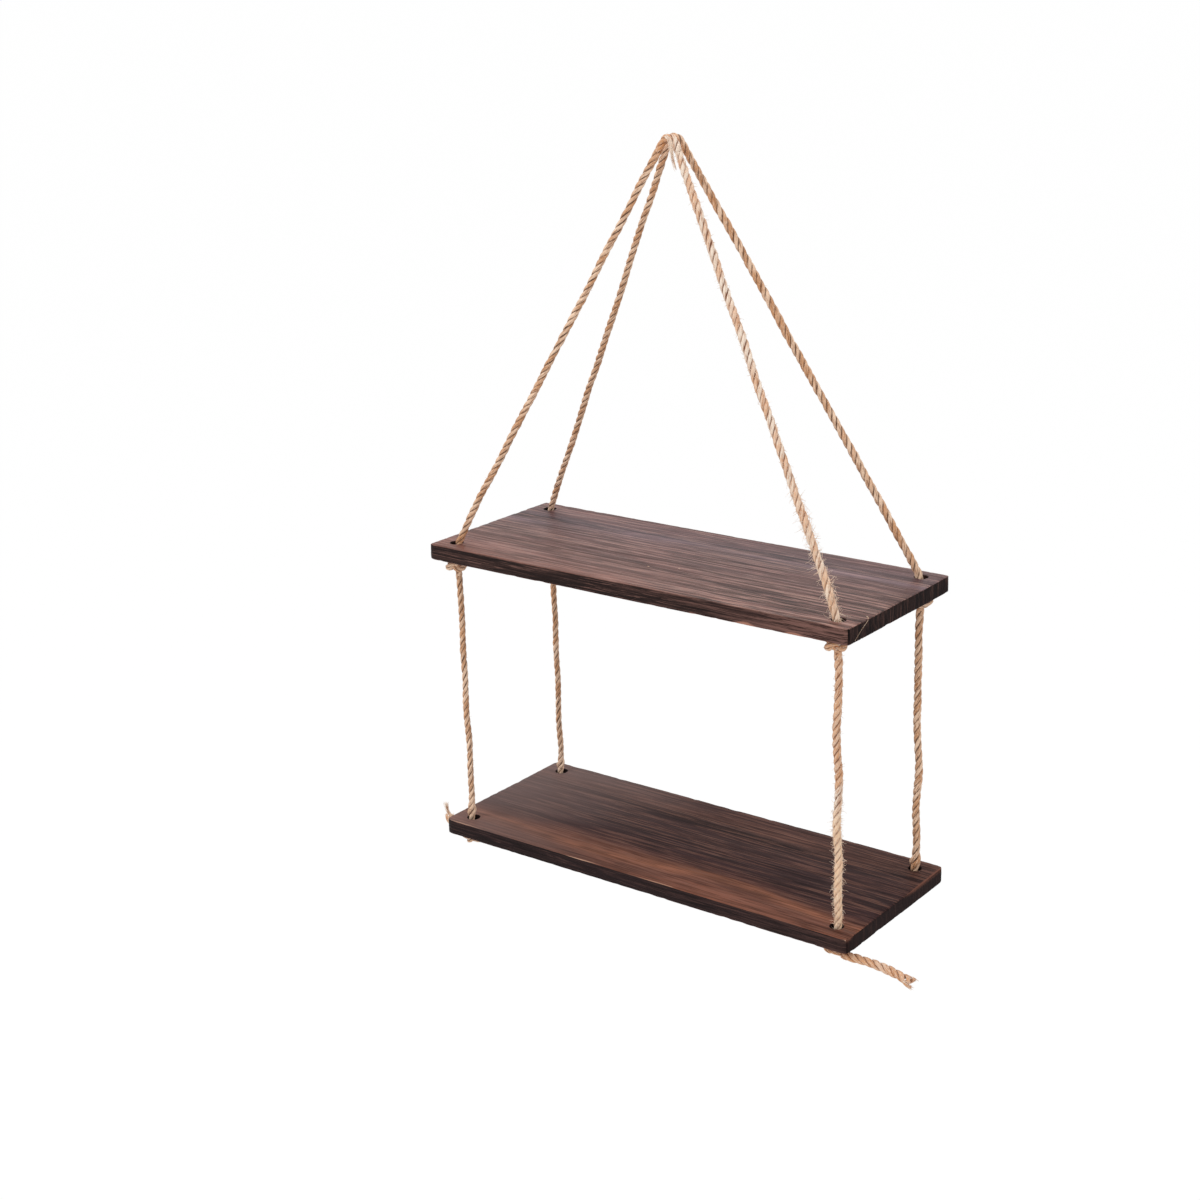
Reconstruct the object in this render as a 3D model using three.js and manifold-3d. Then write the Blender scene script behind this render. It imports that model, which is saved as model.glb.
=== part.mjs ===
// A hanging rope shelf: two wooden boards, one under the other, strung on two ropes.
// Each rope passes over a wall hook and comes down through a hole near an end of each board.
// It is knotted under each board, and its loose end sticks out below the lower one.
//
// Millimetres. +Z is up, +X is to the right of someone who faces the shelf, and -Y is its front.
// The origin is where the two ropes rest on top of the hook.

import * as THREE from 'three';
import { mergeVertices } from 'three/addons/utils/BufferGeometryUtils.js';
import Module from 'manifold-3d';

const wasm = await Module();
wasm.setup();

// Boards
const BOARD_WIDTH = 400;
const BOARD_DEPTH = 150;
const BOARD_THICKNESS = 13;
const BOARD_CORNER_RADIUS = 2;
const BOARD_EDGE_WEAR = 0.8;
const CORNER_ARC_SEGMENTS = 2;

// Holes of the upper board, measured to their middles
const HOLE_DIAMETER = 10;
const HOLE_FROM_END = 17;
const HOLE_FROM_LONG_EDGE = 15;
const HOLE_SEGMENTS = 16;

// Where the ropes stand in the holes: inward of the upper holes and outward of the lower ones
const PLAY_TO_END = 0.5;
const PLAY_TO_LONG_EDGE = 0.2;

// Heights
const HOOK_TO_UPPER_BOARD = 323.5;
const UPPER_TOP_TO_LOWER_TOP = 245;

// Rope
const ROPE_DIAMETER = 6.5;
const ROPE_SIDES = 10;
const UPPER_KNOT_ROPE_DIAMETER = 4.4;
const LOWER_KNOT_ROPE_DIAMETER = 3.6;
const KNOT_SIDES = 8;
const KNOT_STEPS = 54;
const CLEARANCE = 0.3;

// The turn over the hook and beside it
const HOOK_DIAMETER = 6;
const CROWN_REACH = 10;
const TURN_LENGTH = 4.2;
const CROWN_STEPS = 14;
const HOOK_SPHERE_SEGMENTS = 24;
const HOOK_SPHERE_RINGS = 16;
const TURN_STEPS = 3;

// The upper legs, which lean in to the hook and bend upright in the upper board's holes
const LEG_BEND_RADIUS = 16;
const LEG_BEND_DEPTH = 4;
const LEG_END_DEPTH = 5.5;
const LEG_STRAIGHT_STEPS = 16;
const LEG_BEND_STEPS = 4;
const LEG_END_STEPS = 1;

// The lower legs, which bend on a ball of rope under the upper knots and over the lower holes
const FOOT_HEIGHT = 4;
const LOWER_LEG_STEPS = 10;
const BALL_SEGMENTS = 12;
const BALL_RINGS = 8;
const CUP_SEGMENTS = 16;
const CUP_RINGS = 10;

// The rope in the lower holes
const LOWER_KNOT_START_DEPTH = 5.5;
const HOLE_STRETCH_STEPS = 2;

// An overhand knot lies flat, as three lobes of which each passes over one neighbour.
// Its sizes are shares of the pulled-tight rope's diameter.
const KNOT_LOBES = 3;
const KNOT_RING_SHARE = 1.284;
const KNOT_LOBE_SHARE = 0.561;
const KNOT_RISE_SHARE = 0.718;
const KNOT_FLATNESS_SHARE = 0.68;
const KNOT_POINTS = 22;
const KNOT_START_ANGLE = 0.4;
const KNOT_ENTRY_SHARES = [-0.407, 0.141, 1.116];
const KNOT_UPRIGHT_SHARES = [-0.014, 0, 1.609];
const KNOT_TAIL_START_ANGLE = 0.38;
const KNOT_TAIL_SHARES = [
  [0.745, -1.955, -0.766],
  [0.793, -1.02, -0.85],
  [0.725, -0.286, -0.786],
];

// Loose ends: how far ahead of the hole, how far to the left of that, and how high over the
// underside of the lower board each point of the rope lies.
const TAIL_SIDES = 10;
const FRONT_RIGHT_TAIL = [
  [7.35, 2.68, -7.45], [11.7, 2.6, -7.1], [16, 2.3, -6.6], [20.3, 2, -6.2],
  [24.6, 1.7, -6], [28.9, 1.5, -5.8], [33.2, 1.3, -5.7], [37.6, 1.2, -5.7],
  [41.9, 1.1, -5.8], [46.2, 1.1, -5.9], [50.5, 1.2, -6.1], [54.9, 1.4, -6.4],
  [59.2, 1.6, -6.8], [63.5, 1.9, -7.3], [67.7, 2.4, -7.8], [72, 2.9, -8.3],
];
const FRONT_LEFT_TAIL = [
  [7.35, 2.68, -7.45], [10.1, 2.7, -7.3], [12.8, 2.7, -7.1], [15.5, 2.8, -6.9],
  [18.2, 3, -6.7], [21, 3.1, -6.6], [23.7, 3.3, -6.5], [26.4, 3.4, -6.4],
  [29.1, 3.5, -6.3], [31.8, 3.6, -6.1], [34.6, 3.6, -6], [37.3, 3.5, -5.8],
  [40, 3.3, -5.4], [42.7, 3, -5], [45.3, 2.7, -4.6], [48, 2.3, -4.1],
];
const REAR_RIGHT_TAIL = [
  [7.35, 2.68, -7.45], [10.2, 2.7, -7.5], [13, 2.8, -7.7], [15.9, 3, -8],
  [18.7, 3.2, -8.3], [21.5, 3.4, -8.9], [24.3, 3.6, -9.5], [27, 3.8, -10.2],
  [29.7, 4.1, -11], [32.4, 4.3, -12], [35.1, 4.5, -13], [37.7, 4.6, -14.2],
  [40.3, 4.8, -15.4], [42.8, 4.9, -16.6], [45.4, 4.9, -17.8], [48, 5, -19],
];
const REAR_LEFT_TAIL = [
  [7.35, 2.68, -7.45], [10.2, 2.7, -7.4], [13.1, 2.7, -7.5], [15.9, 2.7, -7.7],
  [18.7, 2.6, -8.2], [21.5, 2.5, -8.7], [24.3, 2.3, -9.3], [27, 2.1, -10],
  [29.8, 1.8, -10.8], [32.4, 1.6, -11.8], [35.1, 1.3, -12.8], [37.7, 1, -13.9],
  [40.3, 0.8, -15.1], [42.9, 0.5, -16.3], [45.4, 0.3, -17.5], [48, 0, -18.7],
];

// Colours
const UPPER_WOOD = 0x54413c;
const LOWER_WOOD = 0x4d3530;
const PALE_ROPE = 0xe8c6a2;
const TAN_ROPE = 0xc09a70;
const WOOD_ROUGHNESS = 0.62;
const ROPE_ROUGHNESS = 0.95;

// The four corners. side is -1 at the left end, face is -1 at the front and hand is -1 for a knot
// tied the other way round. The angles turn each knot and its loose end about the upright.
const CORNERS = [
  { name: 'front_left', side: -1, face: -1, colour: TAN_ROPE,
    upperTurn: 125, tailHeading: 156, hand: 1, tail: FRONT_LEFT_TAIL },
  { name: 'front_right', side: 1, face: -1, colour: PALE_ROPE,
    upperTurn: 125, tailHeading: -7, hand: -1, tail: FRONT_RIGHT_TAIL },
  { name: 'rear_left', side: -1, face: 1, colour: TAN_ROPE,
    upperTurn: 60, tailHeading: 12, hand: -1, tail: REAR_LEFT_TAIL },
  { name: 'rear_right', side: 1, face: 1, colour: TAN_ROPE,
    upperTurn: -54, tailHeading: 168, hand: 1, tail: REAR_RIGHT_TAIL },
];
const ROPES = [
  { name: 'front', face: -1, colour: PALE_ROPE },
  { name: 'rear', face: 1, colour: TAN_ROPE },
];

// Places that follow from the sizes
const ropeRadius = ROPE_DIAMETER / 2;
const upperHoleX = BOARD_WIDTH / 2 - HOLE_FROM_END;
const upperHoleY = BOARD_DEPTH / 2 - HOLE_FROM_LONG_EDGE;
const legX = upperHoleX - PLAY_TO_END;
const legY = upperHoleY - PLAY_TO_LONG_EDGE;
const lowerHoleX = legX - PLAY_TO_END;
const lowerHoleY = legY - PLAY_TO_LONG_EDGE;
const upperTop = -HOOK_TO_UPPER_BOARD;
const upperUnderside = upperTop - BOARD_THICKNESS;
const lowerTop = upperTop - UPPER_TOP_TO_LOWER_TOP;
const lowerUnderside = lowerTop - BOARD_THICKNESS;
const upperKnotHeight = upperUnderside - CLEARANCE - knotHalfHeight(UPPER_KNOT_ROPE_DIAMETER);
const lowerKnotHeight = lowerUnderside - CLEARANCE - knotHalfHeight(LOWER_KNOT_ROPE_DIAMETER);
const upperKnotBottom = upperKnotHeight - knotHalfHeight(UPPER_KNOT_ROPE_DIAMETER);
const neckHeight = upperKnotBottom - CLEARANCE - ropeRadius;
const footHeight = lowerTop + FOOT_HEIGHT;
const cupRadius = ropeRadius + CLEARANCE;

// The line of a rope from the top of the hook to the upper board: an arc over the hook, a straight
// leg that touches both arcs, a bend in the hole, then upright. Sideways it spreads from its lane
// on the hook to its hole, as steadily as the arcs let it.
const hookAxisHeight = -HOOK_DIAMETER / 2;
const crownRadius = HOOK_DIAMETER / 2 + ropeRadius;
const laneY = ropeRadius + CLEARANCE / 2;
const bendCentreX = legX - LEG_BEND_RADIUS;
const bendCentreHeight = upperTop - LEG_BEND_DEPTH;
const centresAcross = bendCentreX;
const centresDown = hookAxisHeight - bendCentreHeight;
const centresApart = Math.hypot(centresAcross, centresDown);
const radiusChange = LEG_BEND_RADIUS - crownRadius;
const legLean = Math.atan2(centresAcross, centresDown) + Math.asin(radiusChange / centresApart);
const crownRun = crownRadius * (Math.PI / 2 - legLean);
const straightRun = Math.sqrt(centresApart ** 2 - radiusChange ** 2);
const bendRun = LEG_BEND_RADIUS * legLean;
const wholeRun = crownRun + straightRun + bendRun;
const spreadSlope = (legY - laneY) / (straightRun + crownRun / 2 + bendRun / 2);

function legPoint(run) {
  if (run < crownRun) {
    const angle = run / crownRadius;
    return new THREE.Vector3(
      crownRadius * Math.sin(angle),
      laneY + spreadSlope * run ** 2 / (2 * crownRun),
      hookAxisHeight + crownRadius * Math.cos(angle),
    );
  }
  if (run < crownRun + straightRun) {
    const along = run - crownRun;
    return new THREE.Vector3(
      crownRadius * Math.cos(legLean) + along * Math.sin(legLean),
      laneY + spreadSlope * (crownRun / 2 + along),
      hookAxisHeight + crownRadius * Math.sin(legLean) - along * Math.cos(legLean),
    );
  }
  if (run < wholeRun) {
    const left = wholeRun - run;
    const angle = left / LEG_BEND_RADIUS;
    return new THREE.Vector3(
      bendCentreX + LEG_BEND_RADIUS * Math.cos(angle),
      legY - spreadSlope * left ** 2 / (2 * bendRun),
      bendCentreHeight + LEG_BEND_RADIUS * Math.sin(angle),
    );
  }
  return new THREE.Vector3(legX, legY, bendCentreHeight - (run - wholeRun));
}

// A rope's line at a run from the top of the hook, which is negative towards the left.
function ropePoint(run, face) {
  const point = legPoint(Math.abs(run));
  point.x *= Math.sign(run) || 1;
  point.y *= face;
  return point;
}

// A line through chosen stations, with a ring of the tube at each of them.
class StationCurve extends THREE.Curve {
  constructor(pointAt, stations) {
    super();
    this.pointAt = pointAt;
    this.stations = stations;
  }

  getPoint(share, target = new THREE.Vector3()) {
    const place = share * (this.stations.length - 1);
    const step = Math.min(Math.floor(place), this.stations.length - 2);
    const from = this.stations[step];
    const to = this.stations[step + 1];
    return target.copy(this.pointAt(THREE.MathUtils.lerp(from, to, place - step)));
  }

  getPointAt(share, target) {
    return this.getPoint(share, target);
  }

  getTangentAt(share, target) {
    return this.getTangent(share, target);
  }
}

function evenStations(from, to, steps) {
  return Array.from({ length: steps + 1 }, (_, step) => THREE.MathUtils.lerp(from, to, step / steps));
}

function roundSection(diameter, sides) {
  const points = [];
  for (let corner = 0; corner < sides; corner += 1) {
    const angle = (corner / sides) * 2 * Math.PI;
    points.push(new THREE.Vector2(Math.cos(angle), Math.sin(angle)).multiplyScalar(diameter / 2));
  }
  return new THREE.Shape(points);
}

function tube(line, steps, diameter, sides) {
  return new THREE.ExtrudeGeometry(roundSection(diameter, sides), {
    steps,
    extrudePath: line,
    bevelEnabled: false,
  });
}

function ropeTube(from, to, steps, face) {
  const line = new StationCurve((run) => ropePoint(run, face), evenStations(from, to, steps));
  return tube(line, steps, ROPE_DIAMETER, ROPE_SIDES);
}

function merged(geometry) {
  const bare = geometry.clone();
  bare.deleteAttribute('normal');
  bare.deleteAttribute('uv');
  return mergeVertices(bare);
}

function solid(geometry) {
  const closed = merged(geometry);
  return new wasm.Manifold(new wasm.Mesh({
    numProp: 3,
    vertProperties: new Float32Array(closed.attributes.position.array),
    triVerts: new Uint32Array(closed.index.array),
  }));
}

function geometryOf(body) {
  const mesh = body.getMesh();
  const geometry = new THREE.BufferGeometry();
  geometry.setAttribute('position', new THREE.BufferAttribute(new Float32Array(mesh.vertProperties), 3));
  geometry.setIndex(new THREE.BufferAttribute(new Uint32Array(mesh.triVerts), 1));
  geometry.computeVertexNormals();
  return geometry;
}

function cupSphere(height) {
  return solid(new THREE.SphereGeometry(cupRadius, CUP_SEGMENTS, CUP_RINGS).translate(0, 0, height));
}

function hookSphere(radius) {
  const sphere = new THREE.SphereGeometry(radius, HOOK_SPHERE_SEGMENTS, HOOK_SPHERE_RINGS);
  return solid(sphere.translate(0, 0, hookAxisHeight));
}

function makeMesh(name, geometry, colour, roughness) {
  const material = new THREE.MeshStandardMaterial({ color: colour, roughness, metalness: 0 });
  const mesh = new THREE.Mesh(geometry, material);
  mesh.name = name;
  return mesh;
}

function ropeMesh(name, geometry, colour) {
  return makeMesh(name, geometry, colour, ROPE_ROUGHNESS);
}

// Boards

function boardOutline() {
  const halfWidth = BOARD_WIDTH / 2;
  const halfDepth = BOARD_DEPTH / 2;
  const innerX = halfWidth - BOARD_CORNER_RADIUS;
  const innerY = halfDepth - BOARD_CORNER_RADIUS;
  const outline = new THREE.Shape();
  const corners = [[innerX, -innerY], [innerX, innerY], [-innerX, innerY], [-innerX, -innerY]];
  corners.forEach(([x, y], quarter) => {
    const start = (quarter - 1) * Math.PI / 2;
    outline.absarc(x, y, BOARD_CORNER_RADIUS, start, start + Math.PI / 2, false);
  });
  return outline;
}

function boardGeometry(holeX, holeY) {
  const outline = new THREE.Shape(boardOutline().getPoints(CORNER_ARC_SEGMENTS));
  for (const corner of CORNERS) {
    const points = roundSection(HOLE_DIAMETER, HOLE_SEGMENTS).getPoints();
    const place = new THREE.Vector2(corner.side * holeX, corner.face * holeY);
    outline.holes.push(new THREE.Path(points.map((point) => point.clone().add(place))));
  }
  return new THREE.ExtrudeGeometry(outline, {
    depth: BOARD_THICKNESS - 2 * BOARD_EDGE_WEAR,
    bevelEnabled: true,
    bevelThickness: BOARD_EDGE_WEAR,
    bevelSize: BOARD_EDGE_WEAR,
    bevelOffset: -BOARD_EDGE_WEAR,
    bevelSegments: 1,
  }).translate(0, 0, BOARD_EDGE_WEAR);
}

function upperBoard() {
  const mesh = makeMesh('upper_board', boardGeometry(upperHoleX, upperHoleY), UPPER_WOOD, WOOD_ROUGHNESS);
  mesh.position.z = upperUnderside;
  return mesh;
}

function lowerBoard() {
  const mesh = makeMesh('lower_board', boardGeometry(lowerHoleX, lowerHoleY), LOWER_WOOD, WOOD_ROUGHNESS);
  mesh.position.z = lowerUnderside;
  return mesh;
}

// The ropes at the hook. Every cut there is a sphere about one point of the hook's axis, so that
// each stretch can turn about it beside the next.

function ropeCrown(rope) {
  const reach = crownRun + CROWN_REACH;
  const whole = solid(ropeTube(-reach, reach, CROWN_STEPS, rope.face));
  const crown = geometryOf(whole.intersect(hookSphere(CROWN_REACH)));
  return ropeMesh(`${rope.name}_rope_crown`, crown, rope.colour);
}

function hookTurn(corner) {
  const outer = CROWN_REACH + CLEARANCE + TURN_LENGTH;
  const ends = [corner.side * crownRun, corner.side * (crownRun + outer)];
  const whole = solid(ropeTube(...ends, TURN_STEPS, corner.face));
  const turn = whole.intersect(hookSphere(outer)).subtract(hookSphere(CROWN_REACH + CLEARANCE));
  return ropeMesh(`${corner.name}_hook_turn`, geometryOf(turn), corner.colour);
}

function upperLeg(corner) {
  const inner = CROWN_REACH + TURN_LENGTH + 2 * CLEARANCE;
  const end = wholeRun + LEG_END_DEPTH - LEG_BEND_DEPTH;
  const stations = [
    ...evenStations(crownRun, crownRun + straightRun, LEG_STRAIGHT_STEPS),
    ...evenStations(crownRun + straightRun, wholeRun, LEG_BEND_STEPS).slice(1),
    ...evenStations(wholeRun, end, LEG_END_STEPS).slice(1),
  ].map((run) => corner.side * run);
  const line = new StationCurve((run) => ropePoint(run, corner.face), stations);
  const whole = solid(tube(line, stations.length - 1, ROPE_DIAMETER, ROPE_SIDES));
  const leg = geometryOf(whole.subtract(hookSphere(inner)));
  return ropeMesh(`${corner.name}_upper_leg`, leg, corner.colour);
}

// Knots

function knotHalfHeight(diameter) {
  return (KNOT_RISE_SHARE + 1 / 2) * diameter;
}

function knotPoint(angle, diameter) {
  const wave = Math.sin(KNOT_LOBES * angle);
  const steepness = 1 + KNOT_FLATNESS_SHARE;
  const level = (steepness * wave) / Math.sqrt(1 + (steepness ** 2 - 1) * wave ** 2);
  const middle = KNOT_RING_SHARE - KNOT_LOBE_SHARE;
  return new THREE.Vector3(
    KNOT_LOBE_SHARE * Math.sin(angle) + KNOT_RING_SHARE * Math.sin(2 * angle),
    KNOT_LOBE_SHARE * Math.cos(angle) - KNOT_RING_SHARE * Math.cos(2 * angle) + middle,
    -KNOT_RISE_SHARE * level,
  ).multiplyScalar(diameter);
}

function knotLine(startPoints, startAngle, diameter, hand, top) {
  const points = [...startPoints];
  for (const angle of evenStations(startAngle, 2 * Math.PI - KNOT_START_ANGLE, KNOT_POINTS - 1)) {
    points.push(knotPoint(angle, diameter));
  }
  points.push(new THREE.Vector3(...KNOT_ENTRY_SHARES).multiplyScalar(diameter));
  const upright = new THREE.Vector3(...KNOT_UPRIGHT_SHARES).multiplyScalar(diameter);
  points.push(upright, new THREE.Vector3(upright.x, upright.y, top));
  const handed = new THREE.Vector3(hand, 1, 1);
  return new THREE.CatmullRomCurve3(points.map((point) => point.multiply(handed)));
}

function upperKnot(corner) {
  const diameter = UPPER_KNOT_ROPE_DIAMETER;
  const top = upperTop - LEG_END_DEPTH - CLEARANCE - upperKnotHeight;
  const drop = neckHeight - upperKnotHeight;
  const upright = new THREE.Vector3(...KNOT_UPRIGHT_SHARES).multiplyScalar(-diameter);
  const entry = new THREE.Vector3(...KNOT_ENTRY_SHARES).multiplyScalar(-diameter);
  entry.y *= -1;
  const start = [new THREE.Vector3(upright.x, upright.y, drop), upright, entry];
  const line = knotLine(start, KNOT_START_ANGLE, diameter, 1, top);
  const whole = solid(tube(line, KNOT_STEPS, diameter, KNOT_SIDES));
  const knot = geometryOf(whole.subtract(cupSphere(drop)));
  const mesh = ropeMesh(`${corner.name}_upper_knot`, knot, corner.colour);
  mesh.position.set(corner.side * legX, corner.face * legY, upperKnotHeight);
  mesh.rotation.z = THREE.MathUtils.degToRad(corner.upperTurn);
  return mesh;
}

function lowerKnot(corner) {
  const diameter = LOWER_KNOT_ROPE_DIAMETER;
  const top = lowerTop - LOWER_KNOT_START_DEPTH - CLEARANCE - lowerKnotHeight;
  const start = KNOT_TAIL_SHARES.map((shares) => new THREE.Vector3(...shares).multiplyScalar(diameter));
  const line = knotLine(start, KNOT_TAIL_START_ANGLE, diameter, corner.hand, top);
  const knot = tube(line, KNOT_STEPS, diameter, KNOT_SIDES);
  const mesh = ropeMesh(`${corner.name}_lower_knot`, knot, corner.colour);
  mesh.position.set(corner.side * legX, corner.face * legY, lowerKnotHeight);
  mesh.rotation.z = THREE.MathUtils.degToRad(corner.tailHeading) + Math.PI / 2;
  return mesh;
}

// The lower legs and the balls that they bend on

function ropeBall(name, corner, height) {
  const ball = new THREE.SphereGeometry(ropeRadius, BALL_SEGMENTS, BALL_RINGS);
  const mesh = ropeMesh(name, ball, corner.colour);
  mesh.position.set(corner.side * legX, corner.face * legY, height);
  return mesh;
}

function uprightTube(low, high, steps) {
  const ends = [new THREE.Vector3(0, 0, low), new THREE.Vector3(0, 0, high)];
  return tube(new THREE.LineCurve3(...ends), steps, ROPE_DIAMETER, ROPE_SIDES);
}

function lowerLeg(corner) {
  const length = neckHeight - footHeight;
  const whole = solid(uprightTube(0, length, LOWER_LEG_STEPS));
  const leg = whole.subtract(cupSphere(0)).subtract(cupSphere(length));
  const mesh = ropeMesh(`${corner.name}_lower_leg`, geometryOf(leg), corner.colour);
  mesh.position.set(corner.side * legX, corner.face * legY, footHeight);
  return mesh;
}

function holeStretch(corner) {
  const low = lowerTop - LOWER_KNOT_START_DEPTH - footHeight;
  const whole = solid(uprightTube(low, 0, HOLE_STRETCH_STEPS));
  const stretch = geometryOf(whole.subtract(cupSphere(0)));
  const mesh = ropeMesh(`${corner.name}_hole_stretch`, stretch, corner.colour);
  mesh.position.set(corner.side * legX, corner.face * legY, footHeight);
  return mesh;
}

// Loose ends

function tail(corner) {
  const points = corner.tail.map((place) => new THREE.Vector3(...place));
  for (const point of points) point.y *= corner.hand;
  const line = new THREE.CatmullRomCurve3(points);
  const rope = tube(line, points.length - 1, ROPE_DIAMETER, TAIL_SIDES);
  const mesh = ropeMesh(`${corner.name}_tail`, rope, corner.colour);
  mesh.position.set(corner.side * legX, corner.face * legY, lowerUnderside);
  mesh.rotation.z = THREE.MathUtils.degToRad(corner.tailHeading);
  return mesh;
}

const shelf = new THREE.Group();
shelf.add(upperBoard(), lowerBoard());
for (const rope of ROPES) shelf.add(ropeCrown(rope));
for (const corner of CORNERS) {
  shelf.add(hookTurn(corner));
  shelf.add(upperLeg(corner));
  shelf.add(upperKnot(corner));
  shelf.add(ropeBall(`${corner.name}_neck`, corner, neckHeight));
  shelf.add(lowerLeg(corner));
  shelf.add(ropeBall(`${corner.name}_foot`, corner, footHeight));
  shelf.add(holeStretch(corner));
  shelf.add(lowerKnot(corner));
  shelf.add(tail(corner));
}

export default shelf;
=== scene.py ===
"""A hanging rope shelf, dressed for a plain studio picture.

Two stained boards hang one under the other on two twisted ropes, which pass over a wall hook and are
knotted under each board. The classes below hold sizes in millimetres, and meshes are made in metres,
in the frame of the part: +Z is up, -Y is the front and the origin is where the ropes rest on the hook.
"""

import functools
import logging
import math
from dataclasses import dataclass, field, fields
from enum import Enum, IntEnum

import bpy
import numpy as np
from mathutils import Matrix, Vector, noise


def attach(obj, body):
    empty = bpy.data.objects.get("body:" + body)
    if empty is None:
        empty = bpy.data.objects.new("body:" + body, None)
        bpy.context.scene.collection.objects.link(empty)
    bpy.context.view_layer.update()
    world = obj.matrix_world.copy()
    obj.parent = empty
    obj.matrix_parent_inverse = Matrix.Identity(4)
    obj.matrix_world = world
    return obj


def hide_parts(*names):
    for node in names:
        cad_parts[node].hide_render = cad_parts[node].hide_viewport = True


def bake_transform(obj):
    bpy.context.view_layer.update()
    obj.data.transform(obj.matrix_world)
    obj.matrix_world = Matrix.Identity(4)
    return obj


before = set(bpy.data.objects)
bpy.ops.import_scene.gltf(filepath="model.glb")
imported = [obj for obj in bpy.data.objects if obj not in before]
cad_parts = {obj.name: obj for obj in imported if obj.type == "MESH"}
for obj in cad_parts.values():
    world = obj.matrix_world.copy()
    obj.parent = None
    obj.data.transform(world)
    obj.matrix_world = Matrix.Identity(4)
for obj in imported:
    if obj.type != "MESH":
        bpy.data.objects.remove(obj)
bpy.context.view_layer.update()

LOG = logging.getLogger("rope_shelf")
MM = 0.001
TURN = 2 * math.pi
SMOOTH_STEP = {"interpolation_type": "SMOOTHSTEP", "clamp": True}
Place = tuple[float, float, float]


# Shaders


def tint(code: str) -> tuple[float, float, float, float]:
    """Turns a colour as it looks on a screen into the light that it reflects, by the sRGB curve.

    Args:
        code: The colour as "#rrggbb".

    Returns:
        Red, green, blue and a full alpha.
    """
    shares = [int(code[start:start + 2], 16) / 255 for start in (1, 3, 5)]
    light = [s / 12.92 if s <= 0.04045 else ((s + 0.055) / 1.055) ** 2.4 for s in shares]
    return (*light, 1.0)


@dataclass(frozen=True)
class Grain:
    """A cloudy pattern: its clouds to a unit along X, Y and Z, its shift, finer layers and bend."""

    scales: Place
    shift: float = 0.0
    detail: float = 2.0
    roughness: float = 0.5
    bend: float = 0.0


@dataclass(frozen=True)
class Mask:
    """How a pattern lets a colour through: not at all at its low value, by the share at its high one."""

    low: float
    high: float
    share: float = 1.0


class Value:
    """A number or a colour that a shader socket gives out, with arithmetic for numbers."""

    def __init__(self, graph: "Graph", socket: bpy.types.NodeSocket) -> None:
        """Keeps the graph and the socket."""
        self.graph = graph
        self.socket = socket

    def _math(self, operation: str, first: "Value | float", second: "Value | float") -> "Value":
        """Returns what a Math node makes of two values."""
        node = self.graph.node("ShaderNodeMath", {"operation": operation}, {0: first, 1: second})
        return self.graph.result(node)

    def __add__(self, other: "Value | float") -> "Value":
        """Returns the sum."""
        return self._math("ADD", self, other)

    def __radd__(self, other: float) -> "Value":
        """Returns the sum."""
        return self._math("ADD", other, self)

    def __sub__(self, other: "Value | float") -> "Value":
        """Returns the difference."""
        return self._math("SUBTRACT", self, other)

    def __rsub__(self, other: float) -> "Value":
        """Returns the difference."""
        return self._math("SUBTRACT", other, self)

    def __mul__(self, other: "Value | float") -> "Value":
        """Returns the product."""
        return self._math("MULTIPLY", self, other)

    def __rmul__(self, other: float) -> "Value":
        """Returns the product."""
        return self._math("MULTIPLY", other, self)

    def swing(self, reach: float) -> "Value":
        """Returns a pattern about zero instead of a half, and as far from it as the reach says."""
        return (self - 0.5) * reach

    def through(self, mask: Mask) -> "Value":
        """Returns the share of a mask that this value lets through, from 0 by a smooth step."""
        sockets = {0: self, 1: mask.low, 2: mask.high, 3: 0.0, 4: mask.share}
        return self.graph.result(self.graph.node("ShaderNodeMapRange", SMOOTH_STEP, sockets))

    def painted(self, code: str, share: "Value | float") -> "Value":
        """Returns this colour with a share of another over it."""
        return self.graph.mix(share, self, tint(code))


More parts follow.
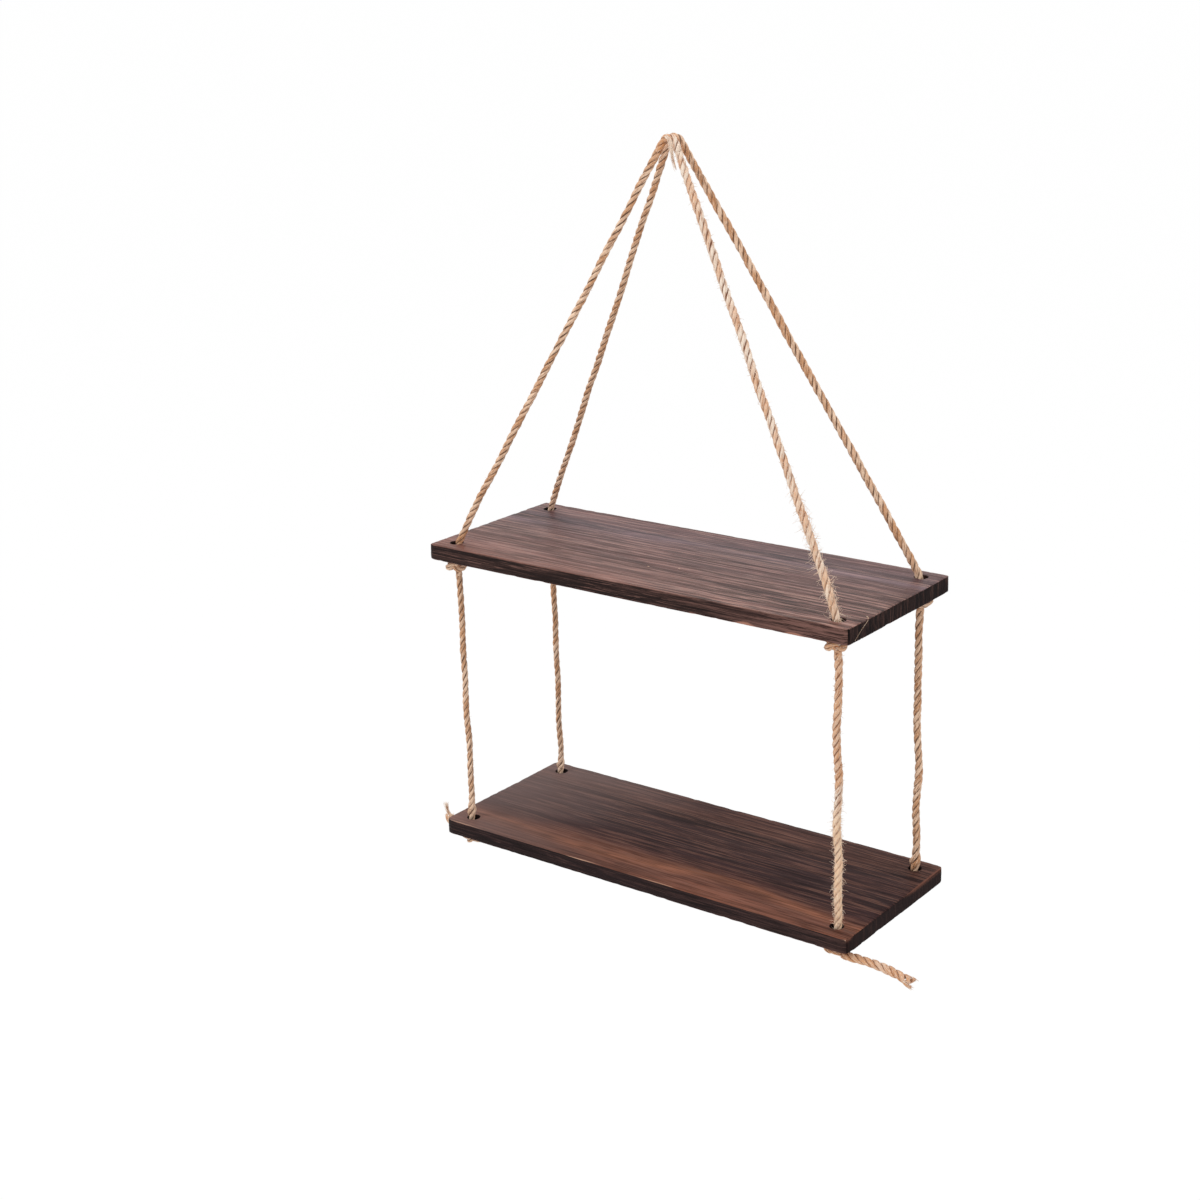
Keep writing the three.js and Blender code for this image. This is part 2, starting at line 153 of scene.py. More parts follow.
class Graph:
    """The nodes of one material or of the world."""

    def __init__(self, owner: bpy.types.Material | bpy.types.World) -> None:
        """Starts without nodes.

        Args:
            owner: The material or world that the nodes belong to.
        """
        owner.use_nodes = True
        self.owner = owner
        self.tree = owner.node_tree
        self.tree.nodes.clear()

    @classmethod
    def of_material(cls, name: str) -> "Graph":
        """Starts a new material of that name."""
        return cls(bpy.data.materials.new(name))

    def node(self, kind: str, settings: dict | None = None, sockets: dict | None = None) -> bpy.types.Node:
        """Adds a node.

        Args:
            kind: The node's type.
            settings: Its settings, with a ramp's stops under "stops".
            sockets: Values or links of its sockets, by name or number.

        Returns:
            The node.
        """
        node = self.tree.nodes.new(kind)
        for key, value in (settings or {}).items():
            if key == "stops":
                self._set_stops(node.color_ramp, value)
            else:
                setattr(node, key, value)
        for key, value in (sockets or {}).items():
            if isinstance(value, Value):
                self.tree.links.new(value.socket, node.inputs[key])
            else:
                node.inputs[key].default_value = value
        return node

    @staticmethod
    def _set_stops(ramp: bpy.types.ColorRamp, stops: tuple[tuple[float, str], ...]) -> None:
        """Sets a ramp's stops.

        Args:
            ramp: The ramp.
            stops: The place and the colour of each stop, in order.
        """
        while len(ramp.elements) < len(stops):
            ramp.elements.new(1.0)
        for element, (place, code) in zip(ramp.elements, stops):
            element.position = place
            element.color = tint(code)

    def result(self, node: bpy.types.Node, output: str | int = 0) -> Value:
        """Returns what a node gives out."""
        return Value(self, node.outputs[output])

    def place(self) -> Value:
        """Returns the place on the object, in metres in the part's frame."""
        return self.result(self.node("ShaderNodeTexCoord"), "Object")

    def axes(self, vector: Value) -> list[Value]:
        """Returns a place's X, Y and Z."""
        node = self.node("ShaderNodeSeparateXYZ", None, {0: vector})
        return [self.result(node, axis) for axis in "XYZ"]

    def grain(self, vector: Value, grain: Grain, seed: float = 0.0) -> Value:
        """Makes a cloudy pattern.

        Args:
            vector: The place.
            grain: The pattern's form.
            seed: Which of the patterns of that form it is.

        Returns:
            The pattern, from 0 to 1.
        """
        shift = seed + grain.shift
        sockets = {0: vector, 1: grain.scales, 2: (shift, shift * 0.7, shift * 1.3)}
        stretched = self.result(self.node("ShaderNodeVectorMath", {"operation": "MULTIPLY_ADD"}, sockets))
        return self.result(self.node("ShaderNodeTexNoise", None, {
            "Vector": stretched, "Scale": 1.0, "Detail": grain.detail, "Roughness": grain.roughness,
            "Distortion": grain.bend,
        }))

    def mix(self, share: Value | float, first: Value | tuple, second: Value | tuple) -> Value:
        """Returns a mix of two colours, with a share of the second."""
        settings = {"data_type": "RGBA", "blend_type": "MIX"}
        return self.result(self.node("ShaderNodeMix", settings, {0: share, 6: first, 7: second}), 2)

    def attribute(self, name: str, output: str = "Fac") -> Value:
        """Returns a value that the mesh holds under a name."""
        return self.result(self.node("ShaderNodeAttribute", {"attribute_name": name}), output)

    def relief(self, height: Value, depth: float, strength: float) -> Value:
        """Returns the normal of a surface that rises with a pattern, by a depth in metres."""
        sockets = {"Strength": strength, "Distance": depth, "Height": height}
        return self.result(self.node("ShaderNodeBump", None, sockets))

    def finish(self, sockets: dict) -> bpy.types.Material:
        """Ends the material with its surface.

        Args:
            sockets: Values or links of the Principled shader's sockets.

        Returns:
            The material.
        """
        surface = self.result(self.node("ShaderNodeBsdfPrincipled", None, sockets))
        self.node("ShaderNodeOutputMaterial", None, {"Surface": surface})
        return self.owner


# Finishes


@dataclass(frozen=True)
class RopeFinish:
    """Twisted jute: pale and tan fibres, with painted shade in the grooves between the strands."""

    name: str
    pale: str
    tan: str
    brown: str
    groove: str
    aged: str
    bleached: str
    slot: str
    seed: float
    roughness: float = 0.92
    patches: Grain = Grain((60, 60, 60), 0, 2.5, 0.6, 0.4)
    lines: Grain = Grain((0.85, 0.85, 0.13), 0, 2.0, 0.6, 0.3)
    hairs: Grain = Grain((2.6, 2.6, 0.35), 7, 1.0, 0.5, 0.3)
    fibre_tones: Grain = Grain((260, 260, 260), 0, 1.0)
    bleach_share: float = 0.85
    brown_share: float = 0.78
    brown_lost: float = 0.48
    groove_lost: float = 0.3

    def rope(self) -> bpy.types.Material:
        """Makes the finish of the strands.

        Returns:
            The material.
        """
        graph = Graph.of_material(f"{self.name}_strands")
        patches = graph.grain(graph.place(), self.patches, self.seed)
        yarn = graph.attribute("yarn_place", "Vector")
        lines = graph.grain(yarn, self.lines, self.seed)
        hairs = graph.grain(yarn, self.hairs, self.seed)
        tone = (patches + graph.attribute("strand_tone")).through(Mask(0.3, 0.68))
        ageing = graph.attribute("ageing")
        bleaching = (ageing * -1).through(Mask(0.0, 1.0))
        browning = lines.through(Mask(0.48, 0.64)) * (self.brown_share - bleaching * self.brown_lost)
        # Painted shade: the strands are darkened deep in the grooves between them, less where the rope is
        # bleached.
        groove = graph.attribute("groove").through(Mask(0.0, 0.95)) * (patches * 1.5 + 0.05)
        colour = graph.mix(tone, tint(self.tan), tint(self.pale))
        for code, share in (
                (self.aged, ageing.through(Mask(0.0, 1.0))),
                (self.bleached, bleaching * self.bleach_share),
                (self.brown, browning),
                (self.pale, hairs.through(Mask(0.5, 0.64, 0.6))),
                (self.groove, groove * (1 - bleaching * self.groove_lost))):
            colour = colour.painted(code, share)
        return graph.finish({
            "Base Color": colour, "Roughness": self.roughness,
            "Normal": graph.relief(lines + hairs * 0.6, depth=0.0004, strength=0.8),
            "Specular IOR Level": 0.18, "Sheen Weight": 0.12, "Sheen Roughness": 0.6,
        })

    def fibres(self) -> bpy.types.Material:
        """Makes the finish of the stray fibres.

        Returns:
            The material.
        """
        graph = Graph.of_material(f"{self.name}_fibres")
        tones = graph.grain(graph.place(), self.fibre_tones, self.seed)
        colour = graph.mix(tones.through(Mask(0.35, 0.65, 0.6)), tint(self.pale), tint(self.tan))
        return graph.finish({"Base Color": colour, "Roughness": self.roughness, "Specular IOR Level": 0.2})


@dataclass(frozen=True)
class BoardFinish:
    """Dark stained softwood with a long grain."""

    name: str
    slot: str
    stain_and_light_bands: tuple[tuple[float, str], ...]
    streak: str
    gleam: str
    sheen: str
    edge: str
    edge_streak: str
    edge_gleam: float
    end: str
    wear: str
    rub: str
    roughness: float
    gloss: float
    contrast: float
    rough_corner: float
    left_gleam: float
    seed: float
    depth: float = 0.15
    drift: Grain = Grain((4.2, 11, 11), 0, 2.0, 0.55)
    fine_drift: Grain = Grain((4, 60, 60), 3, 1.0)
    broad: Grain = Grain((3.4, 130, 130), 11, 3.0, 0.6, 0.35)
    lines: Grain = Grain((12, 440, 440), 17, 4.0, 0.75, 0.35)
    pores: Grain = Grain((34, 850, 850), 23, 1.0, 0.5, 0.3)
    clouds: Grain = Grain((8, 34, 34), 29, 3.0, 0.6, 0.3)
    edge_broad: Grain = Grain((9, 120, 300), 31, 3.0, 0.6, 0.9)
    edge_lines: Grain = Grain((20, 300, 680), 37, 4.0, 0.75, 0.6)
    ring_bend: Grain = Grain((8, 26, 40), 41)
    arcs: Grain = Grain((4.5, 1, 1), 0, 2.0, 0.6)
    pits: Grain = Grain((400, 900, 500), 43, 2.0, 0.6)
    upright: Grain = Grain((100, 420, 50), 47, 2.0, 0.6, 0.3)

    def face(self) -> bpy.types.Material:
        """Makes the finish of the top and the underside.

        Returns:
            The material.
        """
        graph = Graph.of_material(f"{self.name}_face")
        place = graph.place()
        x, y, _ = graph.axes(place)
        drift, fine_drift, broad, lines, pores, clouds = (
            graph.grain(place, grain, self.seed)
            for grain in (self.drift, self.fine_drift, self.broad, self.lines, self.pores, self.clouds))
        across = y * (1 / self.depth) + 0.5 + drift.swing(0.34) + fine_drift.swing(0.1)
        # The bands paint the stain across the depth, and with it a painted sheen on the upper board and a
        # painted highlight along the lower board's front.
        colour = graph.result(graph.node("ShaderNodeValToRGB", {"stops": self.stain_and_light_bands}, {"Fac": across}))
        colour = colour.painted(self.streak, clouds.through(Mask(0.42, 0.62, 0.35)))
        corner = (x * 2.2 - y * 3.5 + drift.swing(0.7)).through(Mask(0.15, 0.6, self.rough_corner))
        strength = (corner + 1) * self.contrast
        for pattern, mask, code in (
                (broad, Mask(0.46, 0.62, 0.6), self.streak), (lines, Mask(0.48, 0.62, 0.6), self.streak),
                (1 - lines, Mask(0.48, 0.62, 0.8), self.gleam), (pores, Mask(0.52, 0.64, 0.7), self.streak)):
            colour = colour.painted(code, pattern.through(mask) * strength)
        left = x * -1 + drift.swing(0.2)
        colour = colour.painted(self.sheen, left.through(Mask(0.02, 0.22, self.left_gleam)))
        at_right_end = x.through(Mask(0.1955, 0.1985))
        worn = graph.mix(at_right_end, tint(self.wear), tint(self.rub))
        wear = graph.attribute("wear") + lines.swing(0.5)
        return graph.finish({
            "Base Color": graph.mix(wear.through(Mask(0.3, 0.7)), colour, worn),
            "Roughness": broad.swing(0.3) + lines.swing(0.3) + self.roughness,
            "Normal": graph.relief(lines + broad * 0.7 - pores * 0.4, depth=0.0004, strength=0.7),
            "Specular IOR Level": self.gloss,
        })

    def long_edge(self) -> bpy.types.Material:
        """Makes the finish of the sawn long edges.

        Returns:
            The material.
        """
        graph = Graph.of_material(f"{self.name}_long_edge")
        place = graph.place()
        broad = graph.grain(place, self.edge_broad, self.seed)
        lines = graph.grain(place, self.edge_lines, self.seed)
        right = (graph.axes(place)[0] + broad.swing(0.12)).through(Mask(0.035, 0.195, self.edge_gleam))
        wear = graph.attribute("wear") + lines.swing(0.6)
        colour = graph.mix(right, tint(self.edge), tint(self.edge_streak))
        for code, share in (
                (self.edge_streak, broad.through(Mask(0.48, 0.62)) * (right * 0.4 + 0.16)),
                (self.streak, lines.through(Mask(0.48, 0.58, 0.88))),
                (self.edge_streak, (1 - lines).through(Mask(0.55, 0.62, 0.55))),
                (self.wear, wear.through(Mask(0.35, 0.75)))):
            colour = colour.painted(code, share)
        return graph.finish({
            "Base Color": colour, "Roughness": lines.swing(0.2) + 0.74,
            "Normal": graph.relief(lines + broad, depth=0.0009, strength=0.9),
            "Specular IOR Level": 0.15,
        })

    def end_grain(self) -> bpy.types.Material:
        """Makes the finish of the boards' ends, with the growth rings cut across.

        Returns:
            The material.
        """
        graph = Graph.of_material(f"{self.name}_end_grain")
        place = graph.place()
        _, y, z = graph.axes(place)
        rings = y * 70 + z * 9 + graph.grain(place, self.ring_bend, self.seed) * 1.6
        combined = graph.result(graph.node("ShaderNodeCombineXYZ", None, {0: rings, 1: 0.0, 2: 0.0}))
        arcs = graph.grain(combined, self.arcs, self.seed)
        pits = graph.grain(place, self.pits, self.seed)
        upright = graph.grain(place, self.upright, self.seed)
        wear = graph.attribute("wear") + pits.swing(0.6)
        colour = graph.mix(arcs.through(Mask(0.46, 0.7, 0.1)), tint(self.end), tint(self.edge_streak))
        for code, share in (
                (self.edge_streak, upright.through(Mask(0.5, 0.68, 0.2))),
                (self.streak, pits.through(Mask(0.5, 0.66, 0.7))),
                (self.rub, wear.through(Mask(0.3, 0.9)))):
            colour = colour.painted(code, share)
        return graph.finish({
            "Base Color": colour, "Roughness": 0.8, "Specular IOR Level": 0.12,
            "Normal": graph.relief(pits + arcs * 0.6, depth=0.0005, strength=0.7),
        })


@dataclass(frozen=True)
class BareWoodFinish:
    """Unstained wood that shows where a splinter has lifted."""

    name: str = "bare_splinter_wood"
    pale: str = "#e6cdb4"
    warm: str = "#c79a78"
    lines: Grain = Grain((500, 900, 900))

    def splinter(self) -> bpy.types.Material:
        """Makes the finish.

        Returns:
            The material.
        """
        graph = Graph.of_material(self.name)
        lines = graph.grain(graph.place(), self.lines)
        colour = graph.mix(lines.through(Mask(0.4, 0.7)), tint(self.pale), tint(self.warm))
        normal = graph.relief(lines, depth=0.0001, strength=0.5)
        return graph.finish({"Base Color": colour, "Roughness": 0.8, "Normal": normal})


# The groove colours are painted shade between the strands.
PALE_JUTE = RopeFinish(
    "pale_jute", pale="#ffecd9", tan="#f0c19d", brown="#bf8258", groove="#8a5334", aged="#dd9f6c",
    bleached="#ffdab4", slot="pale_rope", seed=3.0)
TAN_JUTE = RopeFinish(
    "tan_jute", pale="#ffdcbe", tan="#d8a074", brown="#98613a", groove="#5a351f", aged="#b98253",
    bleached="#f6dfca", slot="tan_rope", seed=9.0)
# The upper board's bands are its stain across the depth; their purple-grey tint in the rear half, lightest in
# the stripe at 0.7, is a painted sheen.
UPPER_BOARD_FINISH = BoardFinish(
    "upper_board", slot="upper_wood",
    stain_and_light_bands=((0.0, "#926255"), (0.16, "#82564d"), (0.34, "#714b45"), (0.52, "#694643"), (0.64, "#644748"),
           (0.7, "#856a70"), (0.78, "#503a41"), (0.86, "#6b4c4d"), (1.0, "#734e4d")),
    streak="#20110f", gleam="#b38b7f", sheen="#b38b7f", edge="#1f1311", edge_streak="#8a645b",
    edge_gleam=0.8, end="#140b0b", wear="#b5806c", rub="#7d5346", roughness=0.46, gloss=0.18,
    contrast=0.62, rough_corner=0.8, left_gleam=0.0, seed=2.0)
# The lower board's bands: the light reddish stripe along the front, up to 0.13, is partly the stain's red and
# partly a painted highlight where the front is lit.
LOWER_BOARD_FINISH = BoardFinish(
    "lower_board", slot="lower_wood",
    stain_and_light_bands=((0.0, "#955f4c"), (0.07, "#7a4e40"), (0.13, "#a86c52"), (0.2, "#6a4339"), (0.3, "#43292a"),
           (0.5, "#3a2425"), (0.66, "#432b2a"), (0.76, "#2a1a1b"), (0.86, "#573a33"), (1.0, "#4a312e")),
    streak="#170c0c", gleam="#8c6253", sheen="#8b7672", edge="#261718", edge_streak="#5c413b",
    edge_gleam=0.3, end="#1f1212", wear="#d0a48c", rub="#744b3e", roughness=0.6, gloss=0.07,
    contrast=0.55, rough_corner=0.2, left_gleam=0.5, seed=14.0)


# Sizes and places


@dataclass(frozen=True)
class ShelfSizes:
    """The shelf's sizes, in millimetres."""

    board_width: float = 400.0
    board_depth: float = 150.0
    board_thickness: float = 13.0
    hole_radius: float = 5.0
    upper_hole: tuple[float, float] = (183.0, 60.0)
    lower_hole: tuple[float, float] = (182.0, 59.6)
    rope_at: tuple[float, float] = (182.5, 59.8)
    upper_top: float = -323.5
    lower_top: float = -568.5
    rope_diameter: float = 6.5
    hook_radius: float = 3.0
    lane_y: float = 3.4
    bend_radius: float = 16.0
    bend_depth: float = 4.0
    upper_knot_height: float = -342.159
    upper_knot_rope: float = 4.4
    upper_knot_squeeze: float = 0.87
    lower_knot_height: float = -586.185
    lower_knot_rope: float = 3.6
    neck_height: float = -351.068
    foot_height: float = -564.5

    @property
    def lower_underside(self) -> float:
        """Returns the height of the lower board's underside."""
        return self.lower_top - self.board_thickness

    @property
    def upper_underside(self) -> float:
        """Returns the height of the upper board's underside."""
        return self.upper_top - self.board_thickness

    def rope_place(self, corner: "Corner", height: float) -> np.ndarray:
        """Returns the place at a height on the upright line of a corner's rope."""
        return np.array([corner.side * self.rope_at[0], corner.face * self.rope_at[1], height])


@dataclass(frozen=True)
class Corner:
    """A corner of the shelf and the rope there.

    The side is -1 at the left and 1 at the right, the face is -1 at the front and 1 at the rear, and the
    hand is -1 where the lower knot is mirrored. The turns are in degrees, seen from above against the
    clock. The ageing goes from a rope's top to its bottom, with what is bleached below 0. The hole shifts
    say how far the ropes lean to the right in the two holes. The tail is the loose end's route.
    """

    name: str
    side: int
    face: int
    hand: int
    upper_turn: float
    tail_heading: float
    finish: RopeFinish
    thickness: float
    lower_thickness: float
    hairiness: float
    flare: float
    fray: float
    hole_shifts: tuple[float, float]
    upper_ageing: tuple[float, float, float, float]
    lower_ageing: tuple[float, float, float, float]
    tail: tuple[Place, ...]

    @property
    def rope(self) -> str:
        """Returns the name of the rope that comes down here."""
        return "front" if self.face < 0 else "rear"


SIZES = ShelfSizes()
FRONT_RIGHT_TAIL = (
    (7.35, 2.68, -7.45), (11.7, 2.6, -7.1), (16, 2.3, -6.6), (20.3, 2, -6.2),
    (24.6, 1.7, -6), (28.9, 1.5, -5.8), (33.2, 1.3, -5.7), (37.6, 1.2, -5.7),
    (41.9, 1.1, -5.8), (46.2, 1.1, -5.9), (50.5, 1.2, -6.1), (54.9, 1.4, -6.4),
    (59.2, 1.6, -6.8), (63.5, 1.9, -7.3), (67.7, 2.4, -7.8), (72, 2.9, -8.3),
)
FRONT_LEFT_TAIL = (
    (7.35, 2.68, -7.45), (10.1, 2.7, -7.3), (12.8, 2.7, -7.1), (15.5, 2.8, -6.9),
    (18.2, 3, -6.7), (21, 3.1, -6.6), (23.7, 3.3, -6.5), (26.4, 3.4, -6.4),
    (29.1, 3.5, -6.3), (31.8, 3.6, -6.1), (34.6, 3.6, -6), (37.3, 3.5, -5.8),
    (40, 3.3, -5.4), (42.7, 3, -5), (45.3, 2.7, -4.6), (48, 2.3, -4.1),
)
REAR_RIGHT_TAIL = (
    (7.35, 2.68, -7.45), (10.2, 2.7, -7.5), (13, 2.8, -7.7), (15.9, 3, -8),
    (18.7, 3.2, -8.3), (21.5, 3.4, -8.9), (24.3, 3.6, -9.5), (27, 3.8, -10.2),
    (29.7, 4.1, -11), (32.4, 4.3, -12), (35.1, 4.5, -13), (37.7, 4.6, -14.2),
    (40.3, 4.8, -15.4), (42.8, 4.9, -16.6), (45.4, 4.9, -17.8), (48, 5, -19),
)
REAR_LEFT_TAIL = (
    (7.35, 2.68, -7.45), (10.2, 2.7, -7.4), (13.1, 2.7, -7.5), (15.9, 2.7, -7.7),
    (18.7, 2.6, -8.2), (21.5, 2.5, -8.7), (24.3, 2.3, -9.3), (27, 2.1, -10),
    (29.8, 1.8, -10.8), (32.4, 1.6, -11.8), (35.1, 1.3, -12.8), (37.7, 1, -13.9),
    (40.3, 0.8, -15.1), (42.9, 0.5, -16.3), (45.4, 0.3, -17.5), (48, 0, -18.7),
)
CORNERS = (
    Corner("front_left", side=-1, face=-1, hand=1, upper_turn=125, tail_heading=156, finish=TAN_JUTE,
           thickness=5.5, lower_thickness=5.2, hairiness=0.5, flare=1.1, fray=0.6,
           hole_shifts=(0.8, -1.1), upper_ageing=(0.1, 0.0, 0.0, 0.3),
           lower_ageing=(0.45, 0.1, 0.0, -0.35), tail=FRONT_LEFT_TAIL),
    Corner("front_right", side=1, face=-1, hand=-1, upper_turn=125, tail_heading=-7, finish=PALE_JUTE,
           thickness=6.2, lower_thickness=6.2, hairiness=3.0, flare=0.0, fray=1.0,
           hole_shifts=(-0.8, 0.7), upper_ageing=(0.0, 0.0, 0.0, -0.4),
           lower_ageing=(0.62, 0.6, -1.0, -1.0), tail=FRONT_RIGHT_TAIL),
    Corner("rear_left", side=-1, face=1, hand=-1, upper_turn=60, tail_heading=12, finish=TAN_JUTE,
           thickness=5.3, lower_thickness=5.1, hairiness=0.4, flare=1.0, fray=0.6,
           hole_shifts=(0.4, -1.0), upper_ageing=(0.2, 0.3, 0.3, 0.0),
           lower_ageing=(0.1, 0.0, 0.0, -0.5), tail=REAR_LEFT_TAIL),
    Corner("rear_right", side=1, face=1, hand=1, upper_turn=-54, tail_heading=168, finish=TAN_JUTE,
           thickness=6.1, lower_thickness=6.1, hairiness=0.5, flare=1.3, fray=0.6,
           hole_shifts=(-1.0, -0.8), upper_ageing=(0.1, 0.0, 0.0, 0.1),
           lower_ageing=(0.45, 0.1, 0.1, 0.4), tail=REAR_RIGHT_TAIL),
)
AGEING_PLACES = (0.0, 0.45, 0.62, 1.0)
PICTURE_RIGHT = np.array([0.81, 0.58, 0.0])


# Numbers and lines


SPLINE_STEPS = 24
WAVER_GAIN = 1.6


def unit(vectors: np.ndarray) -> np.ndarray:
    """Returns one vector, or one a row, with a length of 1."""
    return vectors / np.linalg.norm(vectors, axis=-1, keepdims=True)


def clamp(values: np.ndarray | float) -> np.ndarray | float:
    """Returns values kept between 0 and 1."""
    return np.clip(values, 0, 1)


def bell(distance: np.ndarray | float, width: float) -> np.ndarray | float:
    """Returns 1 where a distance is 0, and almost nothing past two widths."""
    return np.exp(-(distance / width) ** 2)


def bumps(*place: float) -> float:
    """Returns smooth random ups and downs about zero, from the place in space."""
    return noise.noise(Vector(place))


def lengths(line: np.ndarray) -> np.ndarray:
    """Returns how far along a line each of its points is."""
    return np.concatenate([[0.0], np.cumsum(np.linalg.norm(np.diff(line, axis=0), axis=1))])


def evenly(line: np.ndarray, step: float) -> np.ndarray:
    """Spaces places evenly on a line.

    Args:
        line: The line's points, one a row.
        step: How far apart the places are, about.

    Returns:
        The places, one a row.
    """
    along = lengths(line)
    wanted = np.linspace(0, along[-1], max(2, round(along[-1] / step) + 1))
    return np.stack([np.interp(wanted, along, line[:, axis]) for axis in range(3)], axis=1)


def spline(points: np.ndarray, step: float) -> np.ndarray:
    """Draws a smooth line through points and spaces places evenly on it.

    Args:
        points: The points, one a row.
        step: How far apart the places are, about.

    Returns:
        The places, one a row.
    """
    points = np.vstack([2 * points[0] - points[1], points, 2 * points[-1] - points[-2]])
    drawn = []
    for p0, p1, p2, p3 in zip(points[:-3], points[1:-2], points[2:-1], points[3:]):
        t0 = 0.0
        t1 = t0 + math.sqrt(np.linalg.norm(p1 - p0))
        t2 = t1 + math.sqrt(np.linalg.norm(p2 - p1))
        t3 = t2 + math.sqrt(np.linalg.norm(p3 - p2))
        t = np.linspace(t1, t2, SPLINE_STEPS, endpoint=False)[:, None]
        a1 = (t1 - t) / (t1 - t0) * p0 + (t - t0) / (t1 - t0) * p1
        a2 = (t2 - t) / (t2 - t1) * p1 + (t - t1) / (t2 - t1) * p2
        a3 = (t3 - t) / (t3 - t2) * p2 + (t - t2) / (t3 - t2) * p3
        b1 = (t2 - t) / (t2 - t0) * a1 + (t - t0) / (t2 - t0) * a2
        b2 = (t3 - t) / (t3 - t1) * a2 + (t - t1) / (t3 - t1) * a3
        drawn.append((t2 - t) / (t2 - t1) * b1 + (t - t1) / (t2 - t1) * b2)
    return evenly(np.vstack([*drawn, points[-2]]), step)


def curled(start: np.ndarray, way: np.ndarray, length: float, joints: int, curl: np.ndarray) -> np.ndarray:
    """Draws a line that turns a little at each joint.

    Args:
        start: Where it starts.
        way: The way that it sets off.
        length: Its length.
        joints: How many straight bits it has.
        curl: What is added to its way after each bit.

    Returns:
        Its places, one a row.
    """
    line = [start]
    for _ in range(joints):
        line.append(line[-1] + way * length / joints)
        way = unit(way + curl)
    return np.array(line)


def waver(along: np.ndarray, pitch: float, seed: float) -> np.ndarray:
    """Returns a slow wander from about -1 to 1 at places along a line, with waves of about a pitch."""
    return np.array([bumps(s / pitch, seed, 0.37 * seed) for s in along]) * WAVER_GAIN


def turned(points: np.ndarray, degrees: float) -> np.ndarray:
    """Returns points turned about the upright, seen from above against the clock."""
    cos, sin = math.cos(math.radians(degrees)), math.sin(math.radians(degrees))
    return points @ np.array([[cos, -sin, 0], [sin, cos, 0], [0, 0, 1]]).T


def bridge(first: list[int], second: list[int]) -> list[tuple[int, ...]]:
    """Returns the faces between two closed rings of points, given by their numbers."""
    after = [*range(1, len(first)), 0]
    return [(first[k], first[n], second[n], second[k]) for k, n in enumerate(after)]


def walk_round(numbers: np.ndarray) -> list[int]:
    """Returns the numbers on the rim of a grid, against the clock from its first corner."""
    return [*numbers[:-1, 0], *numbers[-1, :-1], *numbers[:0:-1, -1], *numbers[0, :0:-1]]


class LegRoute:
    """The line of a rope from the top of the hook down into a hole of the upper board."""

    def __init__(self, sizes: ShelfSizes) -> None:
        """Works out the line's arcs.

        Args:
            sizes: The shelf's sizes.
        """
        self.axis_height = -sizes.hook_radius
        self.crown_radius = sizes.hook_radius + sizes.rope_diameter / 2
        self.lane_y = sizes.lane_y
        self.leg_x, self.leg_y = sizes.rope_at
        self.bend_radius = sizes.bend_radius
        self.bend_x = self.leg_x - self.bend_radius
        self.bend_height = sizes.upper_top - sizes.bend_depth
        down = self.axis_height - self.bend_height
        apart = math.hypot(self.bend_x, down)
        change = self.bend_radius - self.crown_radius
        self.lean = math.atan2(self.bend_x, down) + math.asin(change / apart)
        self.crown_run = self.crown_radius * (math.pi / 2 - self.lean)
        self.straight_run = math.sqrt(apart ** 2 - change ** 2)
        self.bend_run = self.bend_radius * self.lean
        self.whole_run = self.crown_run + self.straight_run + self.bend_run
        run = self.straight_run + self.crown_run / 2 + self.bend_run / 2
        self.slope = (self.leg_y - self.lane_y) / run

    def _right(self, run: float) -> Place:
        """Finds a place on a right leg.

        Args:
            run: How far it is from the top of the hook along the rope.

        Returns:
            The place, with its distance behind the middle as Y.
        """
        if run < self.crown_run:
            angle = run / self.crown_radius
            return (self.crown_radius * math.sin(angle),
                    self.lane_y + self.slope * run ** 2 / (2 * self.crown_run),
                    self.axis_height + self.crown_radius * math.cos(angle))
        if run < self.crown_run + self.straight_run:
            along = run - self.crown_run
            cos, sin = math.cos(self.lean), math.sin(self.lean)
            return (self.crown_radius * cos + along * sin,
                    self.lane_y + self.slope * (self.crown_run / 2 + along),
                    self.axis_height + self.crown_radius * sin - along * cos)
        if run < self.whole_run:
            left = self.whole_run - run
            angle = left / self.bend_radius
            return (self.bend_x + self.bend_radius * math.cos(angle),
                    self.leg_y - self.slope * left ** 2 / (2 * self.bend_run),
                    self.bend_height + self.bend_radius * math.sin(angle))
        return (self.leg_x, self.leg_y, self.bend_height - (run - self.whole_run))

    def at(self, run: float, face: int) -> Place:
        """Finds a place on a rope.

        Args:
            run: How far it is from the top of the hook, negative towards the left.
            face: -1 for the front rope and 1 for the rear one.

        Returns:
            The place.
        """
        x, y, z = self._right(abs(run))
        return (x if run >= 0 else -x, y * face, z)


# Ropes


@dataclass(frozen=True)
class Unevenness:
    """How a rope strays and varies along its length, with the pitch of each wave in millimetres."""

    eased_ends: float = 12.0
    side_pitch: float = 46.0
    other_side_pitch: float = 38.0
    twist: float = 0.75
    twist_pitch: float = 42.0
    swell: float = 0.04
    swell_pitch: float = 17.0
    lump: float = 0.035
    lump_pitch: float = 6.0


UNEVEN = Unevenness()


